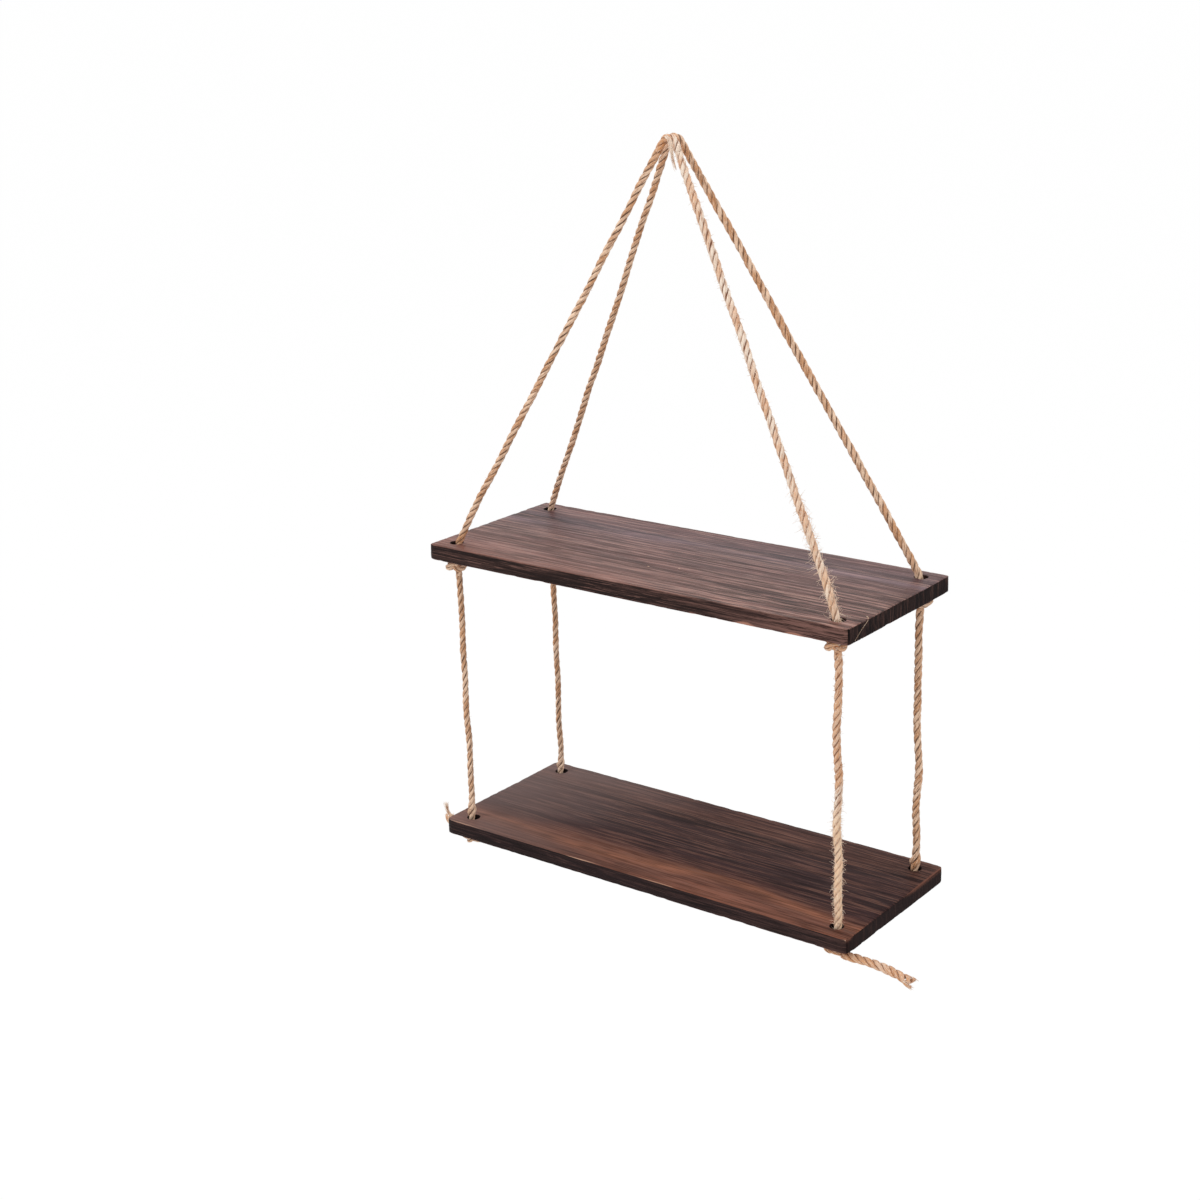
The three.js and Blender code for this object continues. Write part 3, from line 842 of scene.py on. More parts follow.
@dataclass
class RopeRun:
    """A rope's line, with the frame of each ring and how far the strands have turned there."""

    centres: np.ndarray
    normals: np.ndarray
    binormals: np.ndarray
    along: np.ndarray
    turns: np.ndarray
    diameters: np.ndarray
    openings: np.ndarray
    ageing: np.ndarray

    @classmethod
    def along_line(cls, line: np.ndarray, diameter: float, lay: float = 22.0, phase: float = 0.0,
                   wander: float = 0.0, seed: float = 0.0) -> "RopeRun":
        """Sets out a rope on a line.

        Args:
            line: The line's places, one a row.
            diameter: The rope's diameter.
            lay: How far along the rope a strand goes for one turn.
            phase: The strands' turn at the start.
            wander: How far the rope strays from the line.
            seed: Which wander and thickness it has.

        Returns:
            The run.
        """
        along = lengths(line)
        tangents = unit(np.gradient(line, axis=0))
        starts_level = abs(tangents[0][1]) < 0.9
        normals = [np.array([0.0, 1.0, 0.0]) if starts_level else np.array([1.0, 0.0, 0.0])]
        for tangent in tangents:
            normals.append(unit(normals[-1] - tangent * (normals[-1] @ tangent)))
        normals = np.array(normals[1:])
        binormals = np.cross(tangents, normals)
        ease = clamp(np.minimum(along, along[-1] - along) / UNEVEN.eased_ends)[:, None]
        stray = (normals * waver(along, UNEVEN.side_pitch, seed)[:, None]
                 + binormals * waver(along, UNEVEN.other_side_pitch, seed + 5)[:, None])
        turns = phase + TURN * along / lay + UNEVEN.twist * waver(along, UNEVEN.twist_pitch, seed + 9)
        diameters = diameter * (1 + UNEVEN.swell * waver(along, UNEVEN.swell_pitch, seed + 13)
                                + UNEVEN.lump * waver(along, UNEVEN.lump_pitch, seed + 17))
        return cls(line + stray * ease * wander, normals, binormals, along, turns, diameters,
                   np.zeros(len(along)), np.zeros(len(along)))

    def part(self, first: int, last: int) -> "RopeRun":
        """Returns the stretch between two rings, which fits against its neighbours."""
        return RopeRun(*(getattr(self, kept.name)[first:last + 1] for kept in fields(self)))

    def lean(self, amount: float, start: float, full: float) -> None:
        """Moves the rope to the right of the picture, smoothly from one height to a lower one."""
        share = clamp((start - self.centres[:, 2]) / (start - full))
        self.centres = self.centres + PICTURE_RIGHT * (amount * share * share * (3 - 2 * share))[:, None]

    def age(self, marks: tuple[float, ...], top: float, bottom: float) -> None:
        """Ages the rope by marks at its top, at two heights between and at its bottom."""
        share = (top - self.centres[:, 2]) / (top - bottom)
        self.ageing = self.ageing + np.interp(share, AGEING_PLACES, marks)

    def ring_below(self, height: float) -> int:
        """Returns the number of the first ring at or below a height, on a run that goes down."""
        return int(np.argmax(self.centres[:, 2] <= height))


@dataclass
class MeshParts:
    """Points and faces that are gathered for one mesh, with what its materials read."""

    points: list = field(default_factory=list)
    faces: list = field(default_factory=list)
    materials: list = field(default_factory=list)
    values: dict = field(default_factory=dict)
    count: int = 0

    def layer(self, plan: np.ndarray, height: float) -> list[int]:
        """Adds points at one height.

        Args:
            plan: Their places seen from above, one a row.
            height: Their height.

        Returns:
            Their numbers.
        """
        self.points.append(np.column_stack([plan, np.full(len(plan), height)]))
        self.count += len(plan)
        return list(range(self.count - len(plan), self.count))

    def cover(self, faces: list, material: int) -> None:
        """Adds faces of one material between points that are there."""
        self.faces += faces
        self.materials += [int(material)] * len(faces)

    def add(self, points: np.ndarray, faces: list, material: int, **values: np.ndarray) -> None:
        """Adds points and faces.

        Args:
            points: The points in millimetres, one a row.
            faces: Each face as numbers of these points.
            material: The number of the faces' material.
            values: What the mesh holds at each point, by name.
        """
        self.points.append(points)
        self.cover([tuple(corner + self.count for corner in face) for face in faces], material)
        for name, numbers in values.items():
            self.values.setdefault(name, []).append(np.asarray(numbers, float))
        self.count += len(points)

    def build(self, name: str, materials: list[bpy.types.Material]) -> bpy.types.Object:
        """Makes the object.

        Args:
            name: Its name.
            materials: Its materials, in order.

        Returns:
            The object, in metres.
        """
        mesh = bpy.data.meshes.new(name)
        mesh.from_pydata((np.vstack(self.points) * MM).tolist(), [], self.faces)
        mesh.polygons.foreach_set("use_smooth", [True] * len(mesh.polygons))
        mesh.polygons.foreach_set("material_index", self.materials)
        for key, arrays in self.values.items():
            numbers = np.concatenate(arrays)
            kind, slot = ("FLOAT_VECTOR", "vector") if numbers.ndim == 2 else ("FLOAT", "value")
            mesh.attributes.new(key, kind, "POINT").data.foreach_set(slot, numbers.ravel())
        for material in materials:
            mesh.materials.append(material)
        mesh.validate()
        mesh.update()
        thing = bpy.data.objects.new(name, mesh)
        bpy.context.scene.collection.objects.link(thing)
        return thing


class RopePart(IntEnum):
    """The numbers of a rope's materials."""

    STRANDS = 0
    FIBRES = 1


@dataclass(frozen=True)
class FibreForm:
    """A loose fibre or bundle: its material, its sides and what is left of its thickness at the tip."""

    material: RopePart = RopePart.FIBRES
    sides: int = 3
    taper: float = 0.35


@dataclass(frozen=True)
class YarnBundle:
    """Yarns that have come loose from a rope side by side."""

    line: tuple[Place, ...]
    count: int
    scatter: float
    splay: float
    splay_power: float
    step: float
    thickness: tuple[float, float]
    form: FibreForm
    shortest: int = 0


@dataclass
class RopeMesh(MeshParts):
    """One mesh of twisted strands and stray fibres, with random numbers of its own."""

    seed: int = 0
    strands: int = 3
    sides: int = 12
    flute: float = 0.05
    ring_share: float = 0.272
    strand_height_share: float = 0.24
    strand_width_share: float = 0.282
    strand_swell: float = 0.1
    strand_swell_pitch: float = 8.0
    strand_stretch: float = 1.12
    yarn_twist: float = -0.24
    yarn_radius: float = 2.0
    yarn_apart: float = 40.0
    groove_start: float = 0.475
    groove_depth: float = 0.115
    tones: tuple[float, ...] = (-0.12, 0.03, 0.12)
    tone_wave: float = 0.22
    tone_pitch: float = 24.0
    fibre_tone: float = 0.1
    tuft_width: float = 4.8

    def __post_init__(self) -> None:
        """Starts the random numbers."""
        self.rng = np.random.default_rng(self.seed)

    def twist(self, run: RopeRun, seed: float) -> None:
        """Adds a run's strands.

        Args:
            run: The run.
            seed: Which small unevenness they have.
        """
        spokes = TURN * np.arange(self.sides) / self.sides
        flutes = 1 + self.flute * np.where(np.arange(self.sides) % 2 == 0, 1, -1)
        shape = (len(run.along), self.sides)
        for strand in range(self.strands):
            turn = run.turns + TURN * strand / self.strands
            outward = run.normals * np.cos(turn)[:, None] + run.binormals * np.sin(turn)[:, None]
            swell = 1 + self.strand_swell * waver(run.along, self.strand_swell_pitch, seed + 3 * strand)
            middle = run.centres + outward * (self.ring_share * run.diameters + run.openings)[:, None]
            ahead = unit(np.gradient(middle, axis=0))
            first = unit(outward - ahead * np.sum(outward * ahead, axis=1)[:, None])
            second = np.cross(ahead, first)
            travelled = (lengths(middle) + run.along[0] * self.strand_stretch)[:, None]
            angles = spokes[None, :] + self.yarn_twist * travelled
            high = (self.strand_height_share * run.diameters * swell)[:, None] * flutes * np.cos(angles)
            wide = (self.strand_width_share * run.diameters * swell)[:, None] * flutes * np.sin(angles)
            points = (middle[:, None, :] + high[..., None] * first[:, None, :]
                      + wide[..., None] * second[:, None, :])
            reach = np.linalg.norm(points - run.centres[:, None, :], axis=2) / run.diameters[:, None]
            yarn = np.stack([np.broadcast_to(part, shape) for part in (
                self.yarn_radius * np.cos(spokes), self.yarn_radius * np.sin(spokes),
                travelled + self.yarn_apart * strand)], axis=2)
            tone = waver(run.along, self.tone_pitch, seed + 11 * strand) * self.tone_wave
            # Painted shade: points deep between the strands get a value near 1, which darkens them in the
            # material.
            self.add(points.reshape(-1, 3), self._tube_faces(*shape), RopePart.STRANDS,
                     groove=clamp((self.groove_start - reach) / self.groove_depth).ravel(),
                     yarn_place=yarn.reshape(-1, 3),
                     strand_tone=np.repeat(tone + self.tones[strand], self.sides),
                     ageing=np.repeat(run.ageing, self.sides))

    @staticmethod
    def _tube_faces(rings: int, sides: int) -> list[tuple[int, ...]]:
        """Lists the faces of a closed tube.

        Args:
            rings: How many rings of points it has.
            sides: How many points a ring has.

        Returns:
            The faces, with one flat face at each end.
        """
        circles = np.arange(rings * sides).reshape(rings, sides).tolist()
        faces = [face for low, high in zip(circles[:-1], circles[1:]) for face in bridge(low, high)]
        return [*faces, tuple(reversed(circles[0])), tuple(circles[-1])]

    def fibre(self, line: np.ndarray, thickness: float, form: FibreForm = FibreForm()) -> None:
        """Adds one loose fibre or bundle.

        Args:
            line: Its places, one a row.
            thickness: Its diameter where it starts.
            form: Its material, sides and taper.
        """
        ahead = unit(np.gradient(line, axis=0))
        any_way = np.array([0.31, 0.52, 0.8])
        first = unit(np.cross(ahead, any_way))
        second = np.cross(ahead, first)
        radii = thickness / 2 * np.linspace(1, form.taper, len(line))
        spokes = TURN * np.arange(form.sides) / form.sides
        ring = (np.cos(spokes)[None, :, None] * first[:, None, :]
                + np.sin(spokes)[None, :, None] * second[:, None, :])
        points = (line[:, None, :] + ring * radii[:, None, None]).reshape(-1, 3)
        all_points = np.ones(len(points))
        yarn = np.stack([all_points * line[0][0], all_points * line[0][1],
                         np.repeat(lengths(line), form.sides)], axis=1)
        self.add(points, self._tube_faces(len(line), form.sides), form.material, groove=all_points * 0,
                 yarn_place=yarn, strand_tone=all_points * self.fibre_tone, ageing=all_points * 0)

    def yarns(self, bundle: YarnBundle) -> None:
        """Adds a bundle of loose yarns.

        Args:
            bundle: The bundle.
        """
        rng = self.rng
        middle = np.array(bundle.line)
        shares = np.linspace(0, 1, len(middle)) ** bundle.splay_power
        for _ in range(bundle.count):
            shift = rng.normal(0, bundle.scatter, 3)
            bend = np.outer(shares, rng.normal(0, bundle.splay, 3))
            reach = rng.integers(bundle.shortest, len(middle) + 1) if bundle.shortest else len(middle)
            self.fibre(spline((middle + shift + bend)[:reach], bundle.step),
                       rng.uniform(*bundle.thickness), bundle.form)

    def stray(self, run: RopeRun, density: np.ndarray | float, longest: float,
              thickness: float = 0.24) -> None:
        """Adds stray fibres along a run.

        Args:
            run: The run.
            density: How many there are to a millimetre, on the whole run or at each ring.
            longest: The length of the longest ones.
            thickness: A fibre's diameter.
        """
        rng = self.rng
        steps = np.diff(run.along)
        total = np.concatenate([[0.0], np.cumsum(np.broadcast_to(density, run.along.shape)[:-1] * steps)])
        for mark in np.arange(0.5, total[-1], 1.0):
            found = np.searchsorted(total, mark + rng.uniform(-0.5, 0.5)) - 1
            ring = int(np.clip(found, 0, len(steps) - 1))
            angle = rng.uniform(0, TURN)
            outward = run.normals[ring] * math.cos(angle) + run.binormals[ring] * math.sin(angle)
            ahead = unit(run.centres[ring + 1] - run.centres[ring])
            sideways = np.cross(ahead, outward)
            way = outward * rng.uniform(0.4, 1.4)
            way += ahead * rng.choice([-1, 1]) * rng.uniform(0.2, 1.2)
            way = unit(way + sideways * rng.uniform(-0.9, 0.9))
            curl = rng.normal(0, 0.36, 3)
            length = longest * rng.uniform(0.3, 1.0)
            root = run.centres[ring] + outward * 0.38 * run.diameters[ring]
            self.fibre(curled(root, way, length, 4, curl), thickness * rng.uniform(0.7, 1.2))

    def tuft(self, run: RopeRun, bundles: int, length: float, spread: float) -> None:
        """Adds the frayed bundles past the end of a run.

        Args:
            run: The run.
            bundles: How many bundles each strand falls apart into.
            length: How far they reach past the end.
            spread: How far they spread, against their length.
        """
        rng = self.rng
        end, diameter = run.centres[-1], run.diameters[-1]
        ahead = unit(end - run.centres[-4])
        for strand in range(self.strands):
            turn = run.turns[-1] + TURN * strand / self.strands
            outward = run.normals[-1] * math.cos(turn) + run.binormals[-1] * math.sin(turn)
            root = end + outward * (self.ring_share * diameter + run.openings[-1])
            lean = outward * spread * rng.uniform(0.5, 1.0)
            for _ in range(bundles):
                offset = rng.normal(0, 0.16 * diameter, 3)
                offset -= ahead * (offset @ ahead)
                start = root + offset - ahead * rng.uniform(3.0, 6.0)
                way = unit(ahead + lean / 2 + rng.normal(0, 0.15, 3))
                reach = length * rng.uniform(0.4, 1.0) + 5.0
                places = curled(start, way, reach, 5, rng.normal(0, 0.07, 3)) - end
                past = (places @ ahead)[:, None]
                aside = places - past * ahead
                aside *= np.minimum(1, self.tuft_width / (np.linalg.norm(aside, axis=1) + 0.01))[:, None]
                line = end + np.minimum(past, length + 0.8) * ahead + aside
                self.fibre(line, rng.uniform(0.35, 0.75), FibreForm(RopePart.STRANDS, 5, 0.3))


@functools.cache
def rope_materials(finish: RopeFinish) -> list[bpy.types.Material]:
    """Returns the materials of a rope's strands and of its stray fibres, which are made once."""
    return [finish.rope(), finish.fibres()]


@dataclass(frozen=True)
class LooseEnds:
    """The rope ends that stick out from the knots under the lower board."""

    sizes: ShelfSizes
    step: float = 0.9
    wander: float = 0.25
    slim: float = 0.28
    slim_length: float = 7.0
    opening: float = 0.22
    opening_pitch: float = 12.0
    opening_length: float = 9.0
    frayed_length: float = 13.0
    frayed_opening: float = 2.0
    frayed_slim: float = 0.3
    ageing: float = 0.75
    fresher: float = 0.35
    fresher_at: float = 30.0
    fresher_reach: float = 12.0
    bundles: int = 10
    tuft_length: float = 2.4
    tuft_spread: float = 0.5
    stray_length: float = 2.3
    frayed_strand: YarnBundle = YarnBundle(
        line=((-223.0, -40.0, -586.4), (-228.0, -39.4, -585.4), (-231.8, -38.6, -582.2),
              (-233.2, -37.8, -579.4), (-234.4, -37.2, -576.4)),
        count=26, scatter=0.6, splay=0.9, splay_power=1.6, step=1.4, thickness=(0.5, 0.85),
        form=FibreForm(RopePart.STRANDS, 5, 0.35))

    def line(self, corner: Corner) -> np.ndarray:
        """Finds the line of a loose end.

        Args:
            corner: The corner that it is at.

        Returns:
            Its places, in millimetres.
        """
        points = np.array(corner.tail, float) * (1, corner.hand, 1)
        middle = self.sizes.rope_place(corner, self.sizes.lower_underside)
        return spline(turned(points, corner.tail_heading) + middle, self.step)

    def run(self, corner: Corner, line: np.ndarray) -> RopeRun:
        """Sets out a loose end, slim at the knot and falling open at its tip.

        Args:
            corner: The corner that it is at.
            line: Its line.

        Returns:
            The run.
        """
        run = RopeRun.along_line(line, self.sizes.rope_diameter, phase=1.1 * corner.side, wander=self.wander,
                                 seed=60 + 7 * corner.tail_heading)
        left = run.along[-1] - run.along
        fresh = clamp(1 - np.abs(left - self.fresher_at) / self.fresher_reach)
        run.diameters *= 1 - self.slim * clamp(1 - run.along / self.slim_length) ** 2
        run.openings += (self.opening * (1 + waver(run.along, self.opening_pitch, 3))
                         * clamp(run.along / self.opening_length))
        run.openings += self.frayed_opening * corner.fray * clamp(1 - left / self.frayed_length) ** 1.3
        run.diameters *= 1 - self.frayed_slim * clamp(1 - left / (0.6 * self.frayed_length))
        if corner.finish is PALE_JUTE:
            run.ageing += self.ageing - self.fresher * fresh
        return run

    def build(self, corner: Corner) -> None:
        """Makes a loose end and logs its length.

        Args:
            corner: The corner that it is at.
        """
        line = self.line(corner)
        run = self.run(corner, line)
        mesh = RopeMesh(seed=int(300 + corner.tail_heading))
        mesh.twist(run, corner.tail_heading)
        mesh.tuft(run, self.bundles, self.tuft_length * corner.fray, self.tuft_spread)
        mesh.stray(run, 0.8 + 0.45 * corner.hairiness, self.stray_length)
        rope = mesh.build(f"{corner.name}_loose_end", rope_materials(corner.finish))
        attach(rope, "lower_tier")
        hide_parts(f"{corner.name}_tail")
        [self._strand()] if corner.name == "front_left" else []
        LOG.info("%s: loose end, %.0f mm long", corner.name, lengths(line)[-1])

    def _strand(self) -> bpy.types.Object:
        """Makes the long frayed strand that stands up from the front left end.

        Returns:
            The strand.
        """
        mesh = RopeMesh(seed=41)
        mesh.yarns(self.frayed_strand)
        strand = mesh.build("front_left_frayed_strand", rope_materials(PALE_JUTE))
        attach(strand, "lower_tier")
        return strand


@dataclass(frozen=True)
class UpperRopes:
    """The two ropes from the hook down to the upper board, each a crown and two legs."""

    sizes: ShelfSizes
    crown_start: float = 2.0
    crown_end: float = -7.0
    blend_end: float = -26.0
    past_bend: float = 4.0
    route_places: int = 2400
    step: float = 1.15
    diameter: float = 6.3
    wander: float = 0.5
    tone_change: float = 60.0
    aged_crown: float = 0.3
    aged_reach: float = 9.0
    lean_height: float = 24.0
    hairy_from: float = -225.0
    hairy_reach: float = 40.0
    long_hair: float = 9.5
    crown_yarns: YarnBundle = YarnBundle(
        line=((-1.2, -5.6, 4.4), (2.0, -6.8, 3.4), (3.8, -7.6, -0.6), (4.8, -8.0, -6.6),
              (6.2, -8.4, -12.4), (8.4, -8.8, -18.4)),
        count=34, scatter=0.7, splay=0.5, splay_power=1.4, step=1.6, thickness=(0.4, 0.75),
        form=FibreForm(RopePart.STRANDS, 5, 0.3), shortest=4)

    def build(self, face: int) -> None:
        """Makes a rope's crown and its two legs.

        Args:
            face: -1 for the front rope and 1 for the rear one.
        """
        route = LegRoute(self.sizes)
        reach = route.whole_run + self.past_bend
        places = [route.at(run, face) for run in np.linspace(-reach, reach, self.route_places)]
        run = RopeRun.along_line(evenly(np.array(places), self.step), self.diameter, phase=0.6 * face,
                                 wander=self.wander, seed=20 + 9 * face)
        left, right = [corner for corner in CORNERS if corner.face == face]
        ease = clamp(run.centres[:, 0] / self.tone_change + 0.5)
        run.diameters *= (left.thickness * (1 - ease) + right.thickness * ease) / self.diameter
        low = np.where(run.centres[:, 2] <= self.crown_end)[0]
        gap = int(np.argmax(np.diff(low) > 1))
        first, last = int(low[gap]), int(low[gap + 1])
        self._crown(run.part(first, last), face, left, right)
        self._leg(run.part(0, first), left)
        self._leg(run.part(last, len(run.along) - 1), right)

    def _crown(self, run: RopeRun, face: int, left: Corner, right: Corner) -> None:
        """Makes the turn over the hook.

        Args:
            run: The rope there.
            face: -1 for the front rope and 1 for the rear one.
            left: The left corner of this rope.
            right: The right corner of this rope.
        """
        if right.finish is not left.finish:
            run.ageing += clamp(self.aged_crown - run.centres[:, 0] / self.aged_reach)
        mesh = RopeMesh(seed=90 + face)
        mesh.twist(run, 70 + face)
        mesh.stray(run, 1.0, 2.6)
        if face < 0:
            mesh.yarns(self.crown_yarns)
        name = f"{left.rope}_rope_over_hook"
        crown = mesh.build(name, rope_materials(right.finish))
        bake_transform(crown)
        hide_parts(f"{left.rope}_rope_crown", f"{left.name}_hook_turn", f"{right.name}_hook_turn")
        LOG.info("%s: %d rings over the hook", name, len(run.along))

    def _leg(self, run: RopeRun, corner: Corner) -> None:
        """Makes a leg from below the hook into the hole.

        Args:
            run: The rope there.
            corner: The leg's corner.
        """
        run.lean(corner.hole_shifts[0], self.sizes.upper_top + self.lean_height, self.sizes.upper_top)
        run.age(corner.upper_ageing, self.crown_end, self.sizes.upper_top)
        mesh = RopeMesh(seed=500 + 10 * corner.side + corner.face)
        mesh.twist(run, 100 + 13 * corner.side + 5 * corner.face)
        low = clamp((self.hairy_from - run.centres[:, 2]) / self.hairy_reach)
        hairs, thick = corner.hairiness, 0.24 + 0.05 * corner.hairiness
        mesh.stray(run, 0.4 + hairs * (0.3 + 0.8 * low), 2.2 + 0.7 * hairs, thick)
        mesh.stray(run, max(0.0, hairs - 1.0) * 1.2 * low, self.long_hair, thick)
        leg = mesh.build(f"{corner.name}_leg_to_hook", rope_materials(corner.finish))
        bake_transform(leg)
        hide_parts(f"{corner.name}_upper_leg")
        LOG.info("%s: leg to the hook, %.0f mm long", corner.name, run.along[-1] - run.along[0])


@dataclass(frozen=True)
class Knots:
    """The overhand knots under the boards, with sizes as shares of the pulled-tight rope's diameter."""

    sizes: ShelfSizes
    ring_share: float = 1.284
    lobe_share: float = 0.561
    rise_share: float = 0.718
    steepness: float = 1.68
    loop_places: int = 22
    loop_end: float = TURN - 0.4
    upper_loop_start: float = 0.4
    lower_loop_start: float = 0.38
    entry_shares: Place = (-0.407, 0.141, 1.116)
    upright_shares: Place = (-0.014, 0.0, 1.609)
    tail_shares: tuple[Place, ...] = (
        (0.745, -1.955, -0.766), (0.793, -1.02, -0.85), (0.725, -0.286, -0.786))
    below_upper: float = 2.2
    above_upper: float = 12.4
    above_lower: float = 11.9
    plump: float = 1.34
    lower_plump: float = 1.3
    end_plump: float = 1.3
    end_length: float = 6.0
    lay: float = 17.0
    step: float = 0.75
    ageing: float = 0.75
    stray_length: float = 2.4
    stray_thickness: float = 0.3
    pressed: float = 0.026
    packed_share: float = 1.1
    packed_yarns: int = 46
    packed_places: int = 6

    def _loop(self, start: float, diameter: float) -> list[Place]:
        """Finds the places on a knot's loop.

        Args:
            start: The angle at which it starts.
            diameter: The diameter that the shares refer to.

        Returns:
            The places, about the knot's middle.
        """
        places = []
        for angle in np.linspace(start, self.loop_end, self.loop_places):
            wave = math.sin(3 * angle)
            level = self.steepness * wave / math.sqrt(1 + (self.steepness ** 2 - 1) * wave ** 2)
            places.append((
                (self.lobe_share * math.sin(angle) + self.ring_share * math.sin(2 * angle)) * diameter,
                (self.lobe_share * math.cos(angle) - self.ring_share * math.cos(2 * angle)
                 + self.ring_share - self.lobe_share) * diameter,
                -self.rise_share * level * diameter))
        return places

    def _build(self, name: str, line: np.ndarray, diameter: float, ends: tuple[float, float],
               corner: Corner, underside: float) -> bpy.types.Object:
        """Makes a knot's rope.

        Args:
            name: The knot's name.
            line: Its line.
            diameter: The rope's diameter in the knot.
            ends: The rope's diameter at the line's two ends.
            corner: Its corner.
            underside: The height of the board that it is pulled up against.

        Returns:
            The knot.
        """
        run = RopeRun.along_line(line, diameter, self.lay, phase=corner.upper_turn, seed=corner.upper_turn)
        if corner.finish is PALE_JUTE:
            run.ageing += self.ageing
        first = clamp(1 - run.along / self.end_length)
        last = clamp(1 - (run.along[-1] - run.along) / self.end_length)
        run.diameters += (ends[0] - diameter) * first + (ends[1] - diameter) * last
        mesh = RopeMesh(seed=int(700 + corner.upper_turn + line[0][2]))
        mesh.twist(run, corner.upper_turn)
        mesh.stray(run, 0.8 + 0.3 * corner.hairiness, self.stray_length, self.stray_thickness)
        middle = self.sizes.rope_place(corner, underside)
        self._pack(mesh, middle, self.packed_share * diameter)
        self._press(mesh, middle)
        knot = mesh.build(name, rope_materials(corner.finish))
        LOG.info("%s: %.0f mm of rope", name, run.along[-1])
        return knot

    def _press(self, mesh: RopeMesh, middle: np.ndarray) -> None:
        """Flattens a knot where it is pulled against its board.

        Args:
            mesh: The knot's mesh.
            middle: The middle of the hole at the board's underside.
        """
        for points in mesh.points:
            away = np.hypot(*(points - middle)[:, :2].T)
            drop = points[:, 2] - middle[2]
            drop = np.where(drop < 0, drop * (1 - self.pressed * np.clip(away - 2, 0, 9)), drop)
            outside = away > self.sizes.hole_radius - 0.4
            points[:, 2] = middle[2] + np.where(outside, np.minimum(drop, -0.15), drop)

    def _pack(self, mesh: RopeMesh, middle: np.ndarray, radius: float) -> None:
        """Fills the heart of a knot with the yarns that are squeezed in it.

        Args:
            mesh: The knot's mesh.
            middle: The middle of the hole at the board's underside.
            radius: How far from the middle the yarns reach.
        """
        form, rng = FibreForm(RopePart.STRANDS, 5, 0.6), mesh.rng
        for _ in range(self.packed_yarns):
            start = rng.uniform(0, TURN)
            angles = start + np.linspace(0, rng.uniform(1.2, 2.4), self.packed_places)
            reach = radius * rng.uniform(0.35, 1.0) * (1 + 0.12 * np.sin(3 * angles))
            heights = -rng.uniform(0.7, 1.5 * radius) + 0.5 * np.sin(angles * 2)
            ring = np.stack([reach * np.cos(angles), reach * np.sin(angles), heights], axis=1)
            mesh.fibre(ring + middle, rng.uniform(0.9, 1.5), form)

    def upper(self, corner: Corner) -> None:
        """Makes the knot under the upper board.

        Args:
            corner: Its corner.
        """
        thin = self.sizes.upper_knot_rope
        entry = np.multiply(self.entry_shares, thin)
        x, y, z = np.multiply(self.upright_shares, thin)
        points = [(-x, y, -z - self.below_upper), (-x, y, -z), (-entry[0], entry[1], -entry[2]),
                  *self._loop(self.upper_loop_start, thin), entry, (x, y, z), (x, y, self.above_upper)]
        squeeze = self.sizes.upper_knot_squeeze
        line = spline(turned(np.array(points) * (squeeze, squeeze, 1), corner.upper_turn)
                      + self.sizes.rope_place(corner, self.sizes.upper_knot_height), self.step)
        knot = self._build(f"{corner.name}_knot_under_upper_board", line, thin * self.plump,
                           (corner.lower_thickness, thin * self.end_plump), corner,
                           self.sizes.upper_underside)
        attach(knot, "upper_tier")
        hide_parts(f"{corner.name}_upper_knot")

    def lower(self, corner: Corner) -> None:
        """Makes the knot under the lower board.

        Args:
            corner: Its corner.
        """
        thin = self.sizes.lower_knot_rope
        entry = np.multiply(self.entry_shares, thin)
        x, y, z = np.multiply(self.upright_shares, thin)
        points = [*np.multiply(self.tail_shares, thin), *self._loop(self.lower_loop_start, thin),
                  entry, (x, y, z), (x, y, self.above_lower)]
        line = spline(turned(np.array(points) * (corner.hand, 1, 1), corner.tail_heading + 90)
                      + self.sizes.rope_place(corner, self.sizes.lower_knot_height), self.step)
        knot = self._build(f"{corner.name}_knot_under_lower_board", line, thin * self.lower_plump,
                           (thin * self.end_plump, thin * self.end_plump), corner,
                           self.sizes.lower_underside)
        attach(knot, "lower_tier")
        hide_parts(f"{corner.name}_lower_knot")


